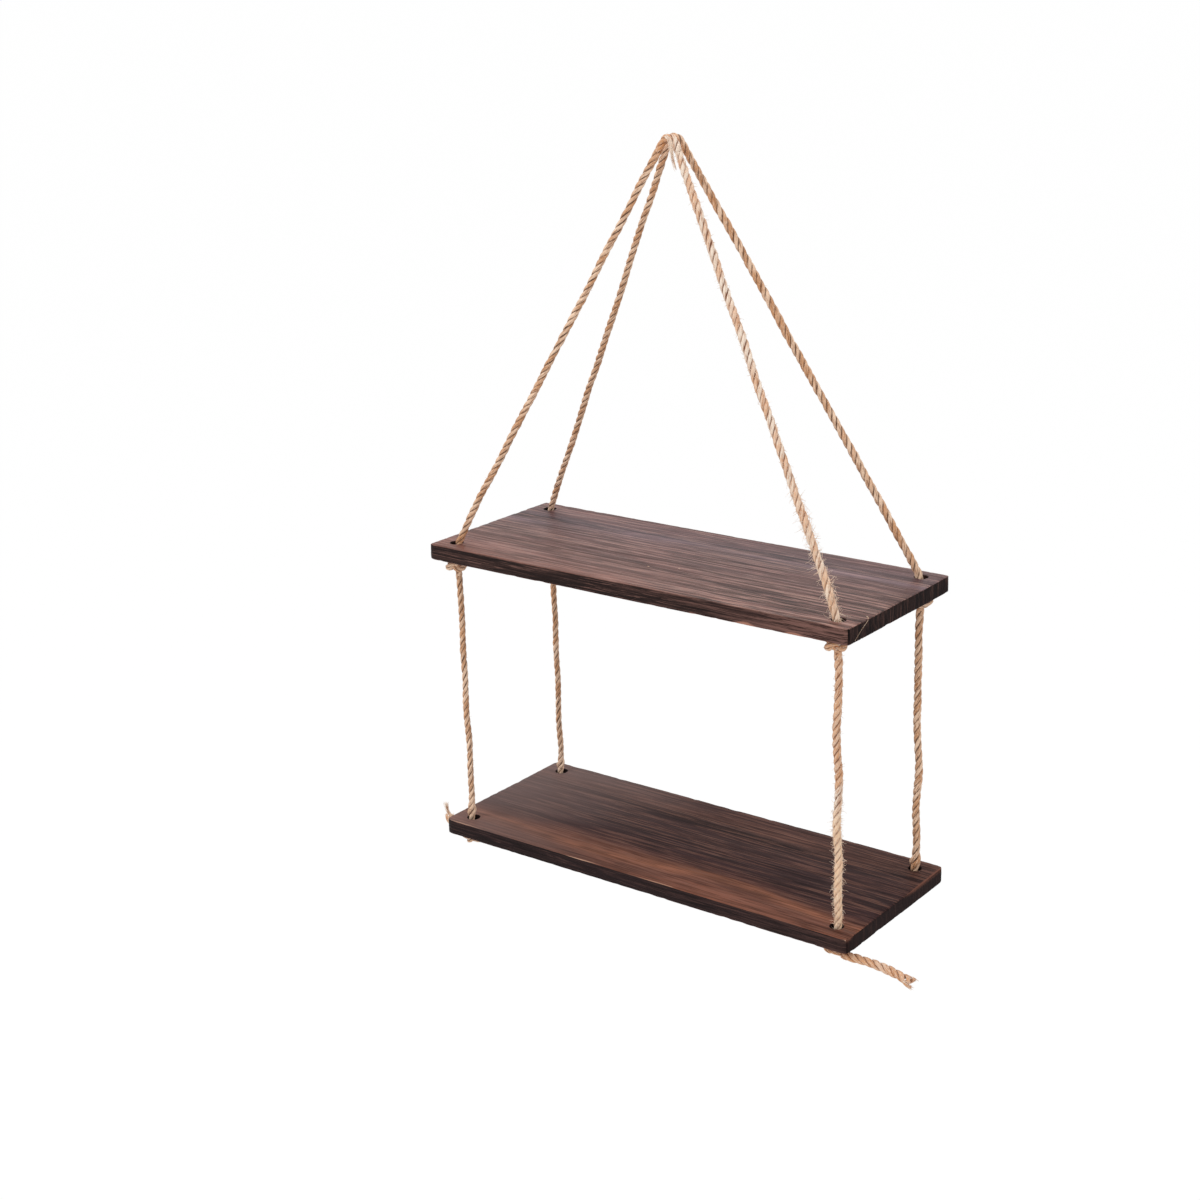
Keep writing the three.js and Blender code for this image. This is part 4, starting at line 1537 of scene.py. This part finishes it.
@dataclass(frozen=True)
class LowerRopes:
    """The ropes between the boards, from the knots of the upper board into the lower holes."""

    sizes: ShelfSizes
    step: float = 1.15
    top: float = -349.4
    bottom: float = -574.2
    bend_above: float = 3.0
    bend_split: float = 2.0
    bend_below: float = 10.0
    foot_above: float = 5.0
    foot_below: float = 4.0
    wander: float = 1.1
    more_wander_right: float = 0.4
    bulge_height: float = 6.5
    bulge_width: float = 4.6
    bulge_opening: float = 0.95
    bulge_swell: float = 0.1
    lean_from: float = 26.0
    lean_to: float = 2.0
    hairy_from: float = -458.0
    hairy_reach: float = 30.0
    long_hair: float = 7.0

    def run(self, corner: Corner) -> RopeRun:
        """Sets out the whole rope between the boards.

        Args:
            corner: Its corner.

        Returns:
            The run, from the top down.
        """
        ends = [self.sizes.rope_place(corner, height) for height in (self.top, self.bottom)]
        run = RopeRun.along_line(evenly(np.array(ends), self.step), corner.lower_thickness,
                                 phase=corner.tail_heading, seed=140 + corner.tail_heading,
                                 wander=self.wander + self.more_wander_right * corner.side)
        lower_top = self.sizes.lower_top
        above = run.centres[:, 2] - lower_top
        bulge = bell(above - self.bulge_height, self.bulge_width) * clamp(above / 3 + 0.3)
        run.openings += corner.flare * self.bulge_opening * bulge
        run.diameters *= 1 + self.bulge_swell * corner.flare * bulge
        run.lean(corner.hole_shifts[1], lower_top + self.lean_from, lower_top + self.lean_to)
        run.age(corner.lower_ageing, self.top, lower_top)
        return run

    def build(self, corner: Corner) -> None:
        """Makes the rope between the boards, in the pieces that its pivots ask for.

        Args:
            corner: Its corner.
        """
        run = self.run(corner)
        neck, foot = self.sizes.neck_height, self.sizes.foot_height
        x, y, _ = self.sizes.rope_place(corner, 0).tolist()
        split = neck - self.bend_split
        below_neck = run.ring_below(split)
        is_led = corner.name == "front_left"
        end_of_leg = run.ring_below(foot + (self.foot_above if is_led else 0))
        last = len(run.along) - 1
        neck_piece = self._piece(run.part(0, below_neck), corner, "rope_under_knot", 0.3)
        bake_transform(neck_piece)
        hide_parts(f"{corner.name}_neck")
        leg = self._piece(run.part(below_neck, end_of_leg), corner, "leg_between_boards", 1.0)
        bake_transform(leg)
        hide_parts(f"{corner.name}_lower_leg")
        if is_led:
            middle = run.ring_below(foot)
            ankle = self._piece(run.part(end_of_leg, middle), corner, "rope_above_hole", 0.6)
            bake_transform(ankle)
            sole = self._piece(run.part(middle, last), corner, "rope_in_lower_hole", 0.6)
            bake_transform(sole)
        else:
            sole = self._piece(run.part(end_of_leg, last), corner, "rope_in_lower_hole", 0.6)
            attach(sole, "lower_tier")
        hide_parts(f"{corner.name}_foot", f"{corner.name}_hole_stretch")

    def _piece(self, run: RopeRun, corner: Corner, what: str, share: float) -> bpy.types.Object:
        """Makes one piece of the rope.

        Args:
            run: The rope there.
            corner: Its corner.
            what: The end of its name.
            share: How hairy it is against the rest of this rope.

        Returns:
            The piece.
        """
        low = clamp((self.hairy_from - run.centres[:, 2]) / self.hairy_reach)
        mesh = RopeMesh(seed=int(900 + corner.tail_heading + 10 * len(run.along)))
        mesh.twist(run, 200 + 17 * corner.side + 5 * corner.face)
        hairs, thick = corner.hairiness, 0.24 + 0.05 * corner.hairiness
        mesh.stray(run, (0.4 + hairs * (0.3 + 2.0 * low)) * share, 2.0 + 0.8 * hairs, thick)
        mesh.stray(run, max(0.0, hairs - 1.0) * 0.6 * low * share, self.long_hair, thick)
        piece = mesh.build(f"{corner.name}_{what}", rope_materials(corner.finish))
        LOG.info("%s: %s, %.0f mm", corner.name, what, run.along[-1] - run.along[0])
        return piece


# Boards


class BoardPlace(Enum):
    """Which of the two boards it is."""

    UPPER = "upper"
    LOWER = "lower"


class BoardSide(IntEnum):
    """The numbers of a board's materials."""

    FACE = 0
    LONG_EDGE = 1
    END = 2


@dataclass(frozen=True)
class Wear:
    """How a board has aged: depths in millimetres, and pitches as the lengths of one wave."""

    side_reach: float = 1.4
    face_reach: float = 0.8
    waviness: float = 0.4
    side_pitch: float = 60.0
    end_pitch: float = 45.0
    sawn_depth: float = 0.24
    saw: tuple[float, float] = (9.0, 1.3)
    pit: tuple[float, float] = (1.6, 2.2)
    ridge_depth: float = 0.1
    ridge: tuple[float, float] = (55.0, 2.1)
    fine_ridge: tuple[float, float] = (30.0, 0.9)
    chip_depth: float = 0.35
    chip_gain: float = 3.2
    chip: tuple[float, float] = (7.0, 5.0)
    small_chip: tuple[float, float] = (2.6, 3.0)
    patch: float = 40.0


@dataclass(frozen=True)
class Board:
    """A board with four drilled holes, worn edges and sawn long sides."""

    sizes: ShelfSizes
    where: BoardPlace
    finish: BoardFinish
    edge_round: float = 1.1
    square: float = 8.0
    across_step: float = 1.3
    along_step: float = 3.6
    square_steps_along: int = 8
    square_steps_across: int = 12
    hole_rings: int = 4
    hole_rim: float = 0.7
    hole_bevel: float = 0.25
    hole_bevel_height: float = 0.9
    hole_levels: int = 6
    hole_roughness: float = 0.12
    side_rows: int = 9
    corner_reach: float = 5.0
    corner_wear: float = 2.0
    wear: Wear = Wear()

    @property
    def top(self) -> float:
        """Returns the height of the board's top."""
        return self.sizes.upper_top if self.where is BoardPlace.UPPER else self.sizes.lower_top

    @property
    def hole(self) -> tuple[float, float]:
        """Returns how far the holes are from the board's middle."""
        return self.sizes.upper_hole if self.where is BoardPlace.UPPER else self.sizes.lower_hole

    @property
    def half(self) -> Place:
        """Returns half the board's width, depth and thickness."""
        return self.sizes.board_width / 2, self.sizes.board_depth / 2, self.sizes.board_thickness / 2

    def _grid(self, half: float, hole: float, step: float, square_steps: int) -> np.ndarray:
        """Spaces the lines of a face's grid in one direction.

        Args:
            half: Half the face's size.
            hole: How far the holes are from the middle.
            step: How far apart the lines are, about.
            square_steps: How many steps cross the square around a hole.

        Returns:
            The lines' places.
        """
        inner, outer = hole - self.square, hole + self.square
        marks = [-half, -outer, -inner, inner, outer, half]
        places = [np.array([-half])]
        for index, (low, high) in enumerate(zip(marks[:-1], marks[1:])):
            crosses_square = index in (1, 3)
            steps = square_steps if crosses_square else max(2, round((high - low) / step))
            places.append(np.linspace(low, high, steps + 1)[1:])
        return np.concatenate(places)

    def _rounded(self, x: np.ndarray, y: np.ndarray) -> tuple[np.ndarray, np.ndarray]:
        """Rounds the board's corners in plan.

        Args:
            x: Places along the board.
            y: Places across it.

        Returns:
            The moved places along and across.
        """
        reach = self.corner_reach
        half_x, half_y, _ = self.half
        u = clamp((np.abs(x) - (half_x - reach)) / reach)
        v = clamp((np.abs(y) - (half_y - reach)) / reach)
        pull = 0.35 * self.corner_wear
        return (np.sign(x) * (np.abs(x) - pull * u * v * v), np.sign(y) * (np.abs(y) - pull * v * u * u))

    def build(self) -> None:
        """Makes the board."""
        half_x, half_y, half_z = self.half
        inset = np.array([half_x, half_y]) - self.edge_round
        xs = self._grid(inset[0], self.hole[0], self.along_step, self.square_steps_along)
        ys = self._grid(inset[1], self.hole[1], self.across_step, self.square_steps_across)
        plan, faces, border, holes = self._face(xs, ys)
        shell = MeshParts()
        shell.layer(plan, half_z)
        shell.layer(plan, -half_z)
        shell.cover(faces, BoardSide.FACE)
        underside = [tuple(number + len(plan) for number in reversed(face)) for face in faces]
        shell.cover(underside, BoardSide.FACE)
        self._sides(shell, plan, border, inset)
        for rim, middle in holes:
            self._drill(shell, plan, rim, middle)
        LOG.info("%s board: %d x %d grid, %d points", self.where.value, len(xs), len(ys), shell.count)
        moved, wear = self._weathered(np.vstack(shell.points))
        moved[:, 2] += self.top - half_z
        shell.points, shell.values = [moved], {"wear": [wear]}
        board = shell.build(f"{self.where.value}_shelf_board",
                            [self.finish.face(), self.finish.long_edge(), self.finish.end_grain()])
        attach(board, f"{self.where.value}_tier")
        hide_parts(f"{self.where.value}_board")

    def _face(self, xs: np.ndarray, ys: np.ndarray) -> tuple[np.ndarray, list, list, list]:
        """Sets out one face with its four holes.

        Args:
            xs: The grid's places along the board.
            ys: The grid's places across it.

        Returns:
            The points in plan, the faces, the numbers of the border's points, and the numbers of each
            hole's edge points with its middle.
        """
        near = 0.01
        hole_x, hole_y = self.hole
        from_x, from_y = np.abs(np.abs(xs) - hole_x), np.abs(np.abs(ys) - hole_y)
        kept = ~np.outer(from_x < self.square - near, from_y < self.square - near)
        numbers = np.cumsum(kept).reshape(kept.shape) - 1
        plan = [np.column_stack([np.repeat(xs, len(ys)), np.tile(ys, len(xs))])[kept.ravel()]]
        mid_x, mid_y = (xs[1:] + xs[:-1]) / 2, (ys[1:] + ys[:-1]) / 2
        in_square = np.outer(np.abs(np.abs(mid_x) - hole_x) < self.square,
                             np.abs(np.abs(mid_y) - hole_y) < self.square)
        faces = [(numbers[i, j], numbers[i + 1, j], numbers[i + 1, j + 1], numbers[i, j + 1])
                 for i, j in np.argwhere(~in_square)]
        count = len(plan[0])
        holes = []
        for side, face in ((-1, -1), (-1, 1), (1, -1), (1, 1)):
            middle = np.array([side * hole_x, face * hole_y])
            columns = np.where(np.abs(xs - middle[0]) <= self.square + near)[0]
            rows = np.where(np.abs(ys - middle[1]) <= self.square + near)[0]
            ring = walk_round(numbers[columns[0]:columns[-1] + 1, rows[0]:rows[-1] + 1])
            edge = plan[0][ring]
            rim = middle + unit(edge - middle) * (self.sizes.hole_radius + self.hole_rim)
            for step in range(1, self.hole_rings + 1):
                share = step / self.hole_rings
                plan.append(edge * (1 - share) + rim * share)
                inner = list(range(count, count + len(ring)))
                faces += bridge(ring, inner)
                ring, count = inner, count + len(ring)
            holes.append((ring, middle))
        return np.vstack(plan), faces, walk_round(numbers), holes

    def _sides(self, shell: MeshParts, plan: np.ndarray, border: list, inset: np.ndarray) -> None:
        """Carries the border of the top round to the underside.

        Args:
            shell: Where the points and faces go.
            plan: The face's points in plan.
            border: The numbers of the border's points, against the clock.
            inset: Half the face's length and half its depth.
        """
        edge = plan[border]
        at_end, at_side = (np.abs(np.abs(edge) - inset) < 0.01).T
        out = np.sign(edge) * np.column_stack([at_end, at_side])
        out[at_end & at_side] *= 0.8
        half_z = self.half[2]
        flat = half_z - self.edge_round
        bend = [(math.sin(a), half_z - self.edge_round * (1 - math.cos(a)))
                for a in (math.pi / 6, math.pi / 3, math.pi / 2)]
        profile = [*bend, *((1.0, height) for height in np.linspace(flat, -flat, self.side_rows + 1)[1:-1]),
                   *((reach, -height) for reach, height in reversed(bend))]
        rings = [border, *(shell.layer(edge + out * self.edge_round * reach, height)
                           for reach, height in profile), [number + len(plan) for number in border]]
        along_end = at_end & np.roll(at_end, -1)
        for index, (high, low) in enumerate(zip(rings[:-1], rings[1:])):
            rounded = index < 2 or index > len(rings) - 4
            for face, is_end in zip(bridge(low, high), along_end):
                side = BoardSide.END if is_end else BoardSide.LONG_EDGE
                shell.cover([face], BoardSide.FACE if rounded else side)

    def _drill(self, shell: MeshParts, plan: np.ndarray, rim: list, middle: np.ndarray) -> None:
        """Drills a hole down from the top to the underside.

        Args:
            shell: Where the points and faces go.
            plan: The face's points in plan.
            rim: The numbers of the points on the hole's edge.
            middle: The hole's middle.
        """
        half_z, radius = self.half[2], self.sizes.hole_radius
        straight = half_z - self.hole_bevel_height
        wide, near_top = radius + self.hole_bevel, half_z - self.hole_bevel
        profile = [(wide, near_top),
                   *((radius, height) for height in np.linspace(straight, -straight, self.hole_levels)),
                   (wide, -near_top)]
        away = unit(plan[rim] - middle)
        rings = [rim]
        for reach, height in profile:
            rough = [self.hole_roughness * bumps(4 * x, 4 * y, height * 0.8) for x, y in away]
            rings.append(shell.layer(middle + away * (reach + np.array(rough))[:, None], height))
        rings.append([number + len(plan) for number in rim])
        for high, low in zip(rings[:-1], rings[1:]):
            shell.cover(bridge(high, low), BoardSide.END)

    def _weathered(self, points: np.ndarray) -> tuple[np.ndarray, np.ndarray]:
        """Roughens the board: uneven edges, a raised grain, chips and worn arrises.

        Args:
            points: The even board's points, about its middle.

        Returns:
            The moved points and how worn each is.
        """
        moved = points.copy()
        moved[:, 0], moved[:, 1] = self._rounded(points[:, 0], points[:, 1])
        wear = np.zeros(len(points))
        for index, place in enumerate(points.tolist()):
            outward, wear[index] = self._weather(place)
            moved[index] += np.sign(place) * outward
        return moved, wear

    def _weather(self, place: Place) -> tuple[Place, float]:
        """Says what wear does at a place.

        Args:
            place: The place, about the board's middle.

        Returns:
            How far the surface moves outward along each axis, and how worn it is.
        """
        x, y, z = place
        half_x, half_y, half_z = self.half
        wear, seed = self.wear, self.finish.seed
        end, side, level = np.sign(place)
        on_side = bell(half_y - abs(y), wear.side_reach)
        on_end = bell(half_x - abs(x), wear.side_reach)
        on_face = bell(half_z - abs(z), wear.face_reach)
        wave_side = bumps(x / wear.side_pitch, side * 3 + seed, level * 0.4)
        wave_end = bumps(y / wear.end_pitch, end * 5 + seed, 1.7)
        saw = bumps(x / wear.saw[0], z / wear.saw[1] + side * 20, seed)
        pit = bumps(y / wear.pit[0], z / wear.pit[1] + end * 20, seed + 4)
        ridge = bumps(x / wear.ridge[0], y / wear.ridge[1], seed + level * 8)
        ridge += 0.6 * bumps(x / wear.fine_ridge[0], y / wear.fine_ridge[1], seed + level * 9)
        wide, deep = wear.chip
        chip = max(0.0, bumps(x / wide, y / wide, z / deep + seed) - 0.24)
        wide, deep = wear.small_chip
        chip += 0.6 * max(0.0, bumps(x / wide, y / wide, z / deep + seed + 5) - 0.3)
        arris = max(on_side, on_end) * on_face
        cut = wear.chip_depth * min(1.0, chip * wear.chip_gain) * arris
        patchy = 0.5 + 0.9 * bumps(x / wear.patch, y / wear.patch, z + seed + 2)
        outward = (
            (wear.waviness * wave_end - wear.sawn_depth / 2 * (0.5 + pit) * (1 - on_face * 0.8)
             - cut) * on_end,
            (wear.waviness * wave_side - wear.sawn_depth * (0.5 + saw) * (1 - on_face * 0.5)
             - cut) * on_side,
            -wear.ridge_depth * (0.4 + ridge) * on_face - cut)
        worn = arris * min(1.0, max(0.0, patchy)) * self._worn_share(place)
        return outward, worn + self._rubbed(place) * max(on_side, on_end) * min(1.0, 0.5 + patchy)

    def _worn_share(self, place: Place) -> float:
        """Says how worn an arris is, by where it is on this board.

        Args:
            place: The place, about the board's middle.

        Returns:
            The share of full wear.
        """
        x, y, z = place
        if self.where is BoardPlace.UPPER:
            return 1.0 if y < 0 and z < 0 and 60 < x < 196 else 0.35
        if y < 0 and z > 0 and abs(x) < 199:
            return 1.15 if -120 < x < 40 else 0.8
        return 0.4

    def _rubbed(self, place: Place) -> float:
        """Says how much of a side's stain is rubbed off, by where it is on this board.

        Args:
            place: The place, about the board's middle.

        Returns:
            How rubbed it is, from 0 to about 1.
        """
        x, y, z = place
        half_x, _, half_z = self.half
        if self.where is BoardPlace.UPPER:
            if y > 0:
                return 0.0
            spots = ((112.0, 9.0, 1.3), (154.0, 8.0, 1.1), (63.0, 6.0, 0.6))
            return bell(z + half_z, 2.8) * sum(
                strength * bell(x - place, width) for place, width, strength in spots)
        reach = bell(max(0.0, half_x - x), 3.0) * bell(z - half_z, 4.6)
        return reach * (0.7 * min(1.0, max(0.0, (y + 5) / 30)) + 0.7 * bell(y + 72, 9))


@dataclass(frozen=True)
class Splinters:
    """Slivers and flecks of bare wood on the upper board."""

    sizes: ShelfSizes
    step: float = 0.6
    form: FibreForm = FibreForm(RopePart.STRANDS, 6, 0.4)

    def build(self) -> None:
        """Makes the slivers near the front right corner and two flecks on the top, as one piece."""
        top = self.sizes.upper_top
        end = self.sizes.board_width / 2
        slivers = (
            (((end - 3.4, -43.5, top + 0.05), (end - 1.4, -45.2, top + 0.2), (end - 0.1, -47.0, top - 0.1)),
             0.8),
            (((end + 0.05, -47.5, top - 0.9), (end + 0.1, -56.5, top - 5.4), (end + 0.05, -66.0, top - 11.6)),
             0.34),
            (((13.0, -21.5, top - 0.12), (14.0, -21.4, top + 0.1), (15.0, -21.3, top - 0.12)), 0.7),
            (((-11.0, -29.5, top - 0.12), (-10.0, -29.4, top + 0.1), (-9.0, -29.4, top - 0.12)), 0.6),
        )
        mesh = RopeMesh()
        for points, width in slivers:
            mesh.fibre(spline(np.array(points), self.step), width, self.form)
        mesh.values = {}
        piece = mesh.build("upper_board_splinters", [BareWoodFinish().splinter()])
        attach(piece, "upper_tier")
        LOG.info("upper board: %d splinters", len(slivers))


# Camera and studio


@dataclass(frozen=True)
class PictureView:
    """The camera, at the angle from which the shelf is pictured."""

    azimuth: float = 35.651
    elevation: float = 18.23
    roll: float = -1.077
    distance: float = 1594.763
    target: Place = (17.769, 0.0, -354.451)
    focal_pixels: float = 2016.867
    frame_pixels: float = 1200.0
    centre_pixel: float = 700.0
    sensor: float = 36.0
    nearest: float = 0.05
    farthest: float = 200.0

    def build(self) -> None:
        """Sets up the camera."""
        az, el, roll = (math.radians(angle) for angle in (self.azimuth, self.elevation, self.roll))
        away = Vector((math.sin(az) * math.cos(el), -math.cos(az) * math.cos(el), math.sin(el)))
        ahead = -away
        right = ahead.cross(Vector((0, 0, 1))).normalized()
        down = ahead.cross(right)
        rolled_right = right * math.cos(roll) - down * math.sin(roll)
        rolled_down = right * math.sin(roll) + down * math.cos(roll)
        data = bpy.data.cameras.new("picture_camera")
        data.sensor_width = self.sensor
        data.lens = self.focal_pixels / self.frame_pixels * self.sensor
        data.shift_x = (self.frame_pixels / 2 - self.centre_pixel) / self.frame_pixels
        data.clip_start = self.nearest
        data.clip_end = self.farthest
        camera = bpy.data.objects.new("picture_camera", data)
        place = (Vector(self.target) + away * self.distance) * MM
        axes = Matrix((rolled_right, -rolled_down, -ahead)).transposed()
        camera.matrix_world = Matrix.Translation(place) @ axes.to_4x4()
        bpy.context.scene.collection.objects.link(camera)
        bpy.context.scene.camera = camera


@dataclass(frozen=True)
class Lamp:
    """A soft square lamp: its place and width in metres and its power in watts."""

    name: str
    place: Place
    power: float
    size: float

    def hang(self, aim: Place) -> None:
        """Hangs the lamp.

        Args:
            aim: The place that it faces, in metres.
        """
        data = bpy.data.lights.new(self.name, "AREA")
        data.energy = self.power
        data.size = self.size
        lamp = bpy.data.objects.new(self.name, data)
        lamp.location = self.place
        lamp.rotation_euler = (Vector(aim) - Vector(self.place)).to_track_quat("-Z", "Y").to_euler()
        bpy.context.scene.collection.objects.link(lamp)


@dataclass(frozen=True)
class Studio:
    """A pale floor far below the shelf, a white surround and soft lamps, in metres."""

    floor_height: float = -1.55
    floor_half: float = 90.0
    floor_tone: float = 0.9
    floor_glow: float = 1.03
    glow_share: float = 0.93
    surround: float = 0.62
    aim: Place = (0.0, 0.0, -0.32)
    lamps: tuple[Lamp, ...] = (
        Lamp("key_lamp", (-1.5, -2.1, 1.5), power=30.0, size=1.6),
        Lamp("side_lamp", (2.4, -0.9, 0.9), power=10.5, size=1.4),
        Lamp("top_lamp", (0.1, 0.9, 2.0), power=16.5, size=1.6),
    )

    def build(self) -> None:
        """Sets up the floor, the surround and the lamps."""
        self._floor()
        self._surround()
        for lamp in self.lamps:
            lamp.hang(self.aim)
        bpy.context.scene.view_settings.view_transform = "Standard"

    def _floor(self) -> None:
        """Lays the floor."""
        mesh = bpy.data.meshes.new("studio_floor")
        corners = [(side * self.floor_half, face * self.floor_half, self.floor_height)
                   for side, face in ((-1, -1), (1, -1), (1, 1), (-1, 1))]
        mesh.from_pydata(corners, [], [(0, 1, 2, 3)])
        floor = bpy.data.objects.new("studio_floor", mesh)
        bpy.context.scene.collection.objects.link(floor)
        graph = Graph.of_material("pale_floor")
        pale = {"Color": (self.floor_tone, self.floor_tone, self.floor_tone, 1)}
        matt = graph.result(graph.node("ShaderNodeBsdfDiffuse", None, pale))
        white = {"Color": (1, 1, 1, 1), "Strength": self.floor_glow}
        glow = graph.result(graph.node("ShaderNodeEmission", None, white))
        seen = self._seen(graph) * self.glow_share
        both = graph.result(graph.node("ShaderNodeMixShader", None, {0: seen, 1: matt, 2: glow}))
        graph.node("ShaderNodeOutputMaterial", None, {"Surface": both})
        mesh.materials.append(graph.owner)

    @staticmethod
    def _seen(graph: Graph) -> Value:
        """Tells where a ray comes from the camera, a reflection or through glass.

        Args:
            graph: The material's nodes.

        Returns:
            1 for such rays and 0 for the rest.
        """
        path = graph.node("ShaderNodeLightPath")
        camera, glossy, glass = (
            graph.result(path, f"Is {kind} Ray") for kind in ("Camera", "Glossy", "Transmission"))
        return (camera + glossy + glass).through(Mask(0.0, 1.0))

    def _surround(self) -> None:
        """Sets the light all round, which looks white."""
        graph = Graph(bpy.data.worlds.new("white_surround"))
        bpy.context.scene.world = graph.owner
        strength = self._seen(graph) * (1 - self.surround) + self.surround
        light = graph.node("ShaderNodeBackground", None, {"Color": (1, 1, 1, 1), "Strength": strength})
        graph.node("ShaderNodeOutputWorld", None, {"Surface": graph.result(light)})


def main() -> None:
    """Builds the picture: camera and loose ends, then ropes, knots, boards and studio."""
    logging.basicConfig(level=logging.INFO, format="%(name)s: %(message)s")
    PictureView().build()
    ends = LooseEnds(SIZES)
    for corner in CORNERS:
        ends.build(corner)
    upper_ropes = UpperRopes(SIZES)
    for face in (-1, 1):
        upper_ropes.build(face)
    knots = Knots(SIZES)
    lower_ropes = LowerRopes(SIZES)
    for corner in CORNERS:
        knots.upper(corner)
        lower_ropes.build(corner)
        knots.lower(corner)
    Board(SIZES, BoardPlace.UPPER, UPPER_BOARD_FINISH).build()
    Board(SIZES, BoardPlace.LOWER, LOWER_BOARD_FINISH, corner_wear=3.6).build()
    Splinters(SIZES).build()
    Studio().build()


if __name__ == "__main__":
    main()
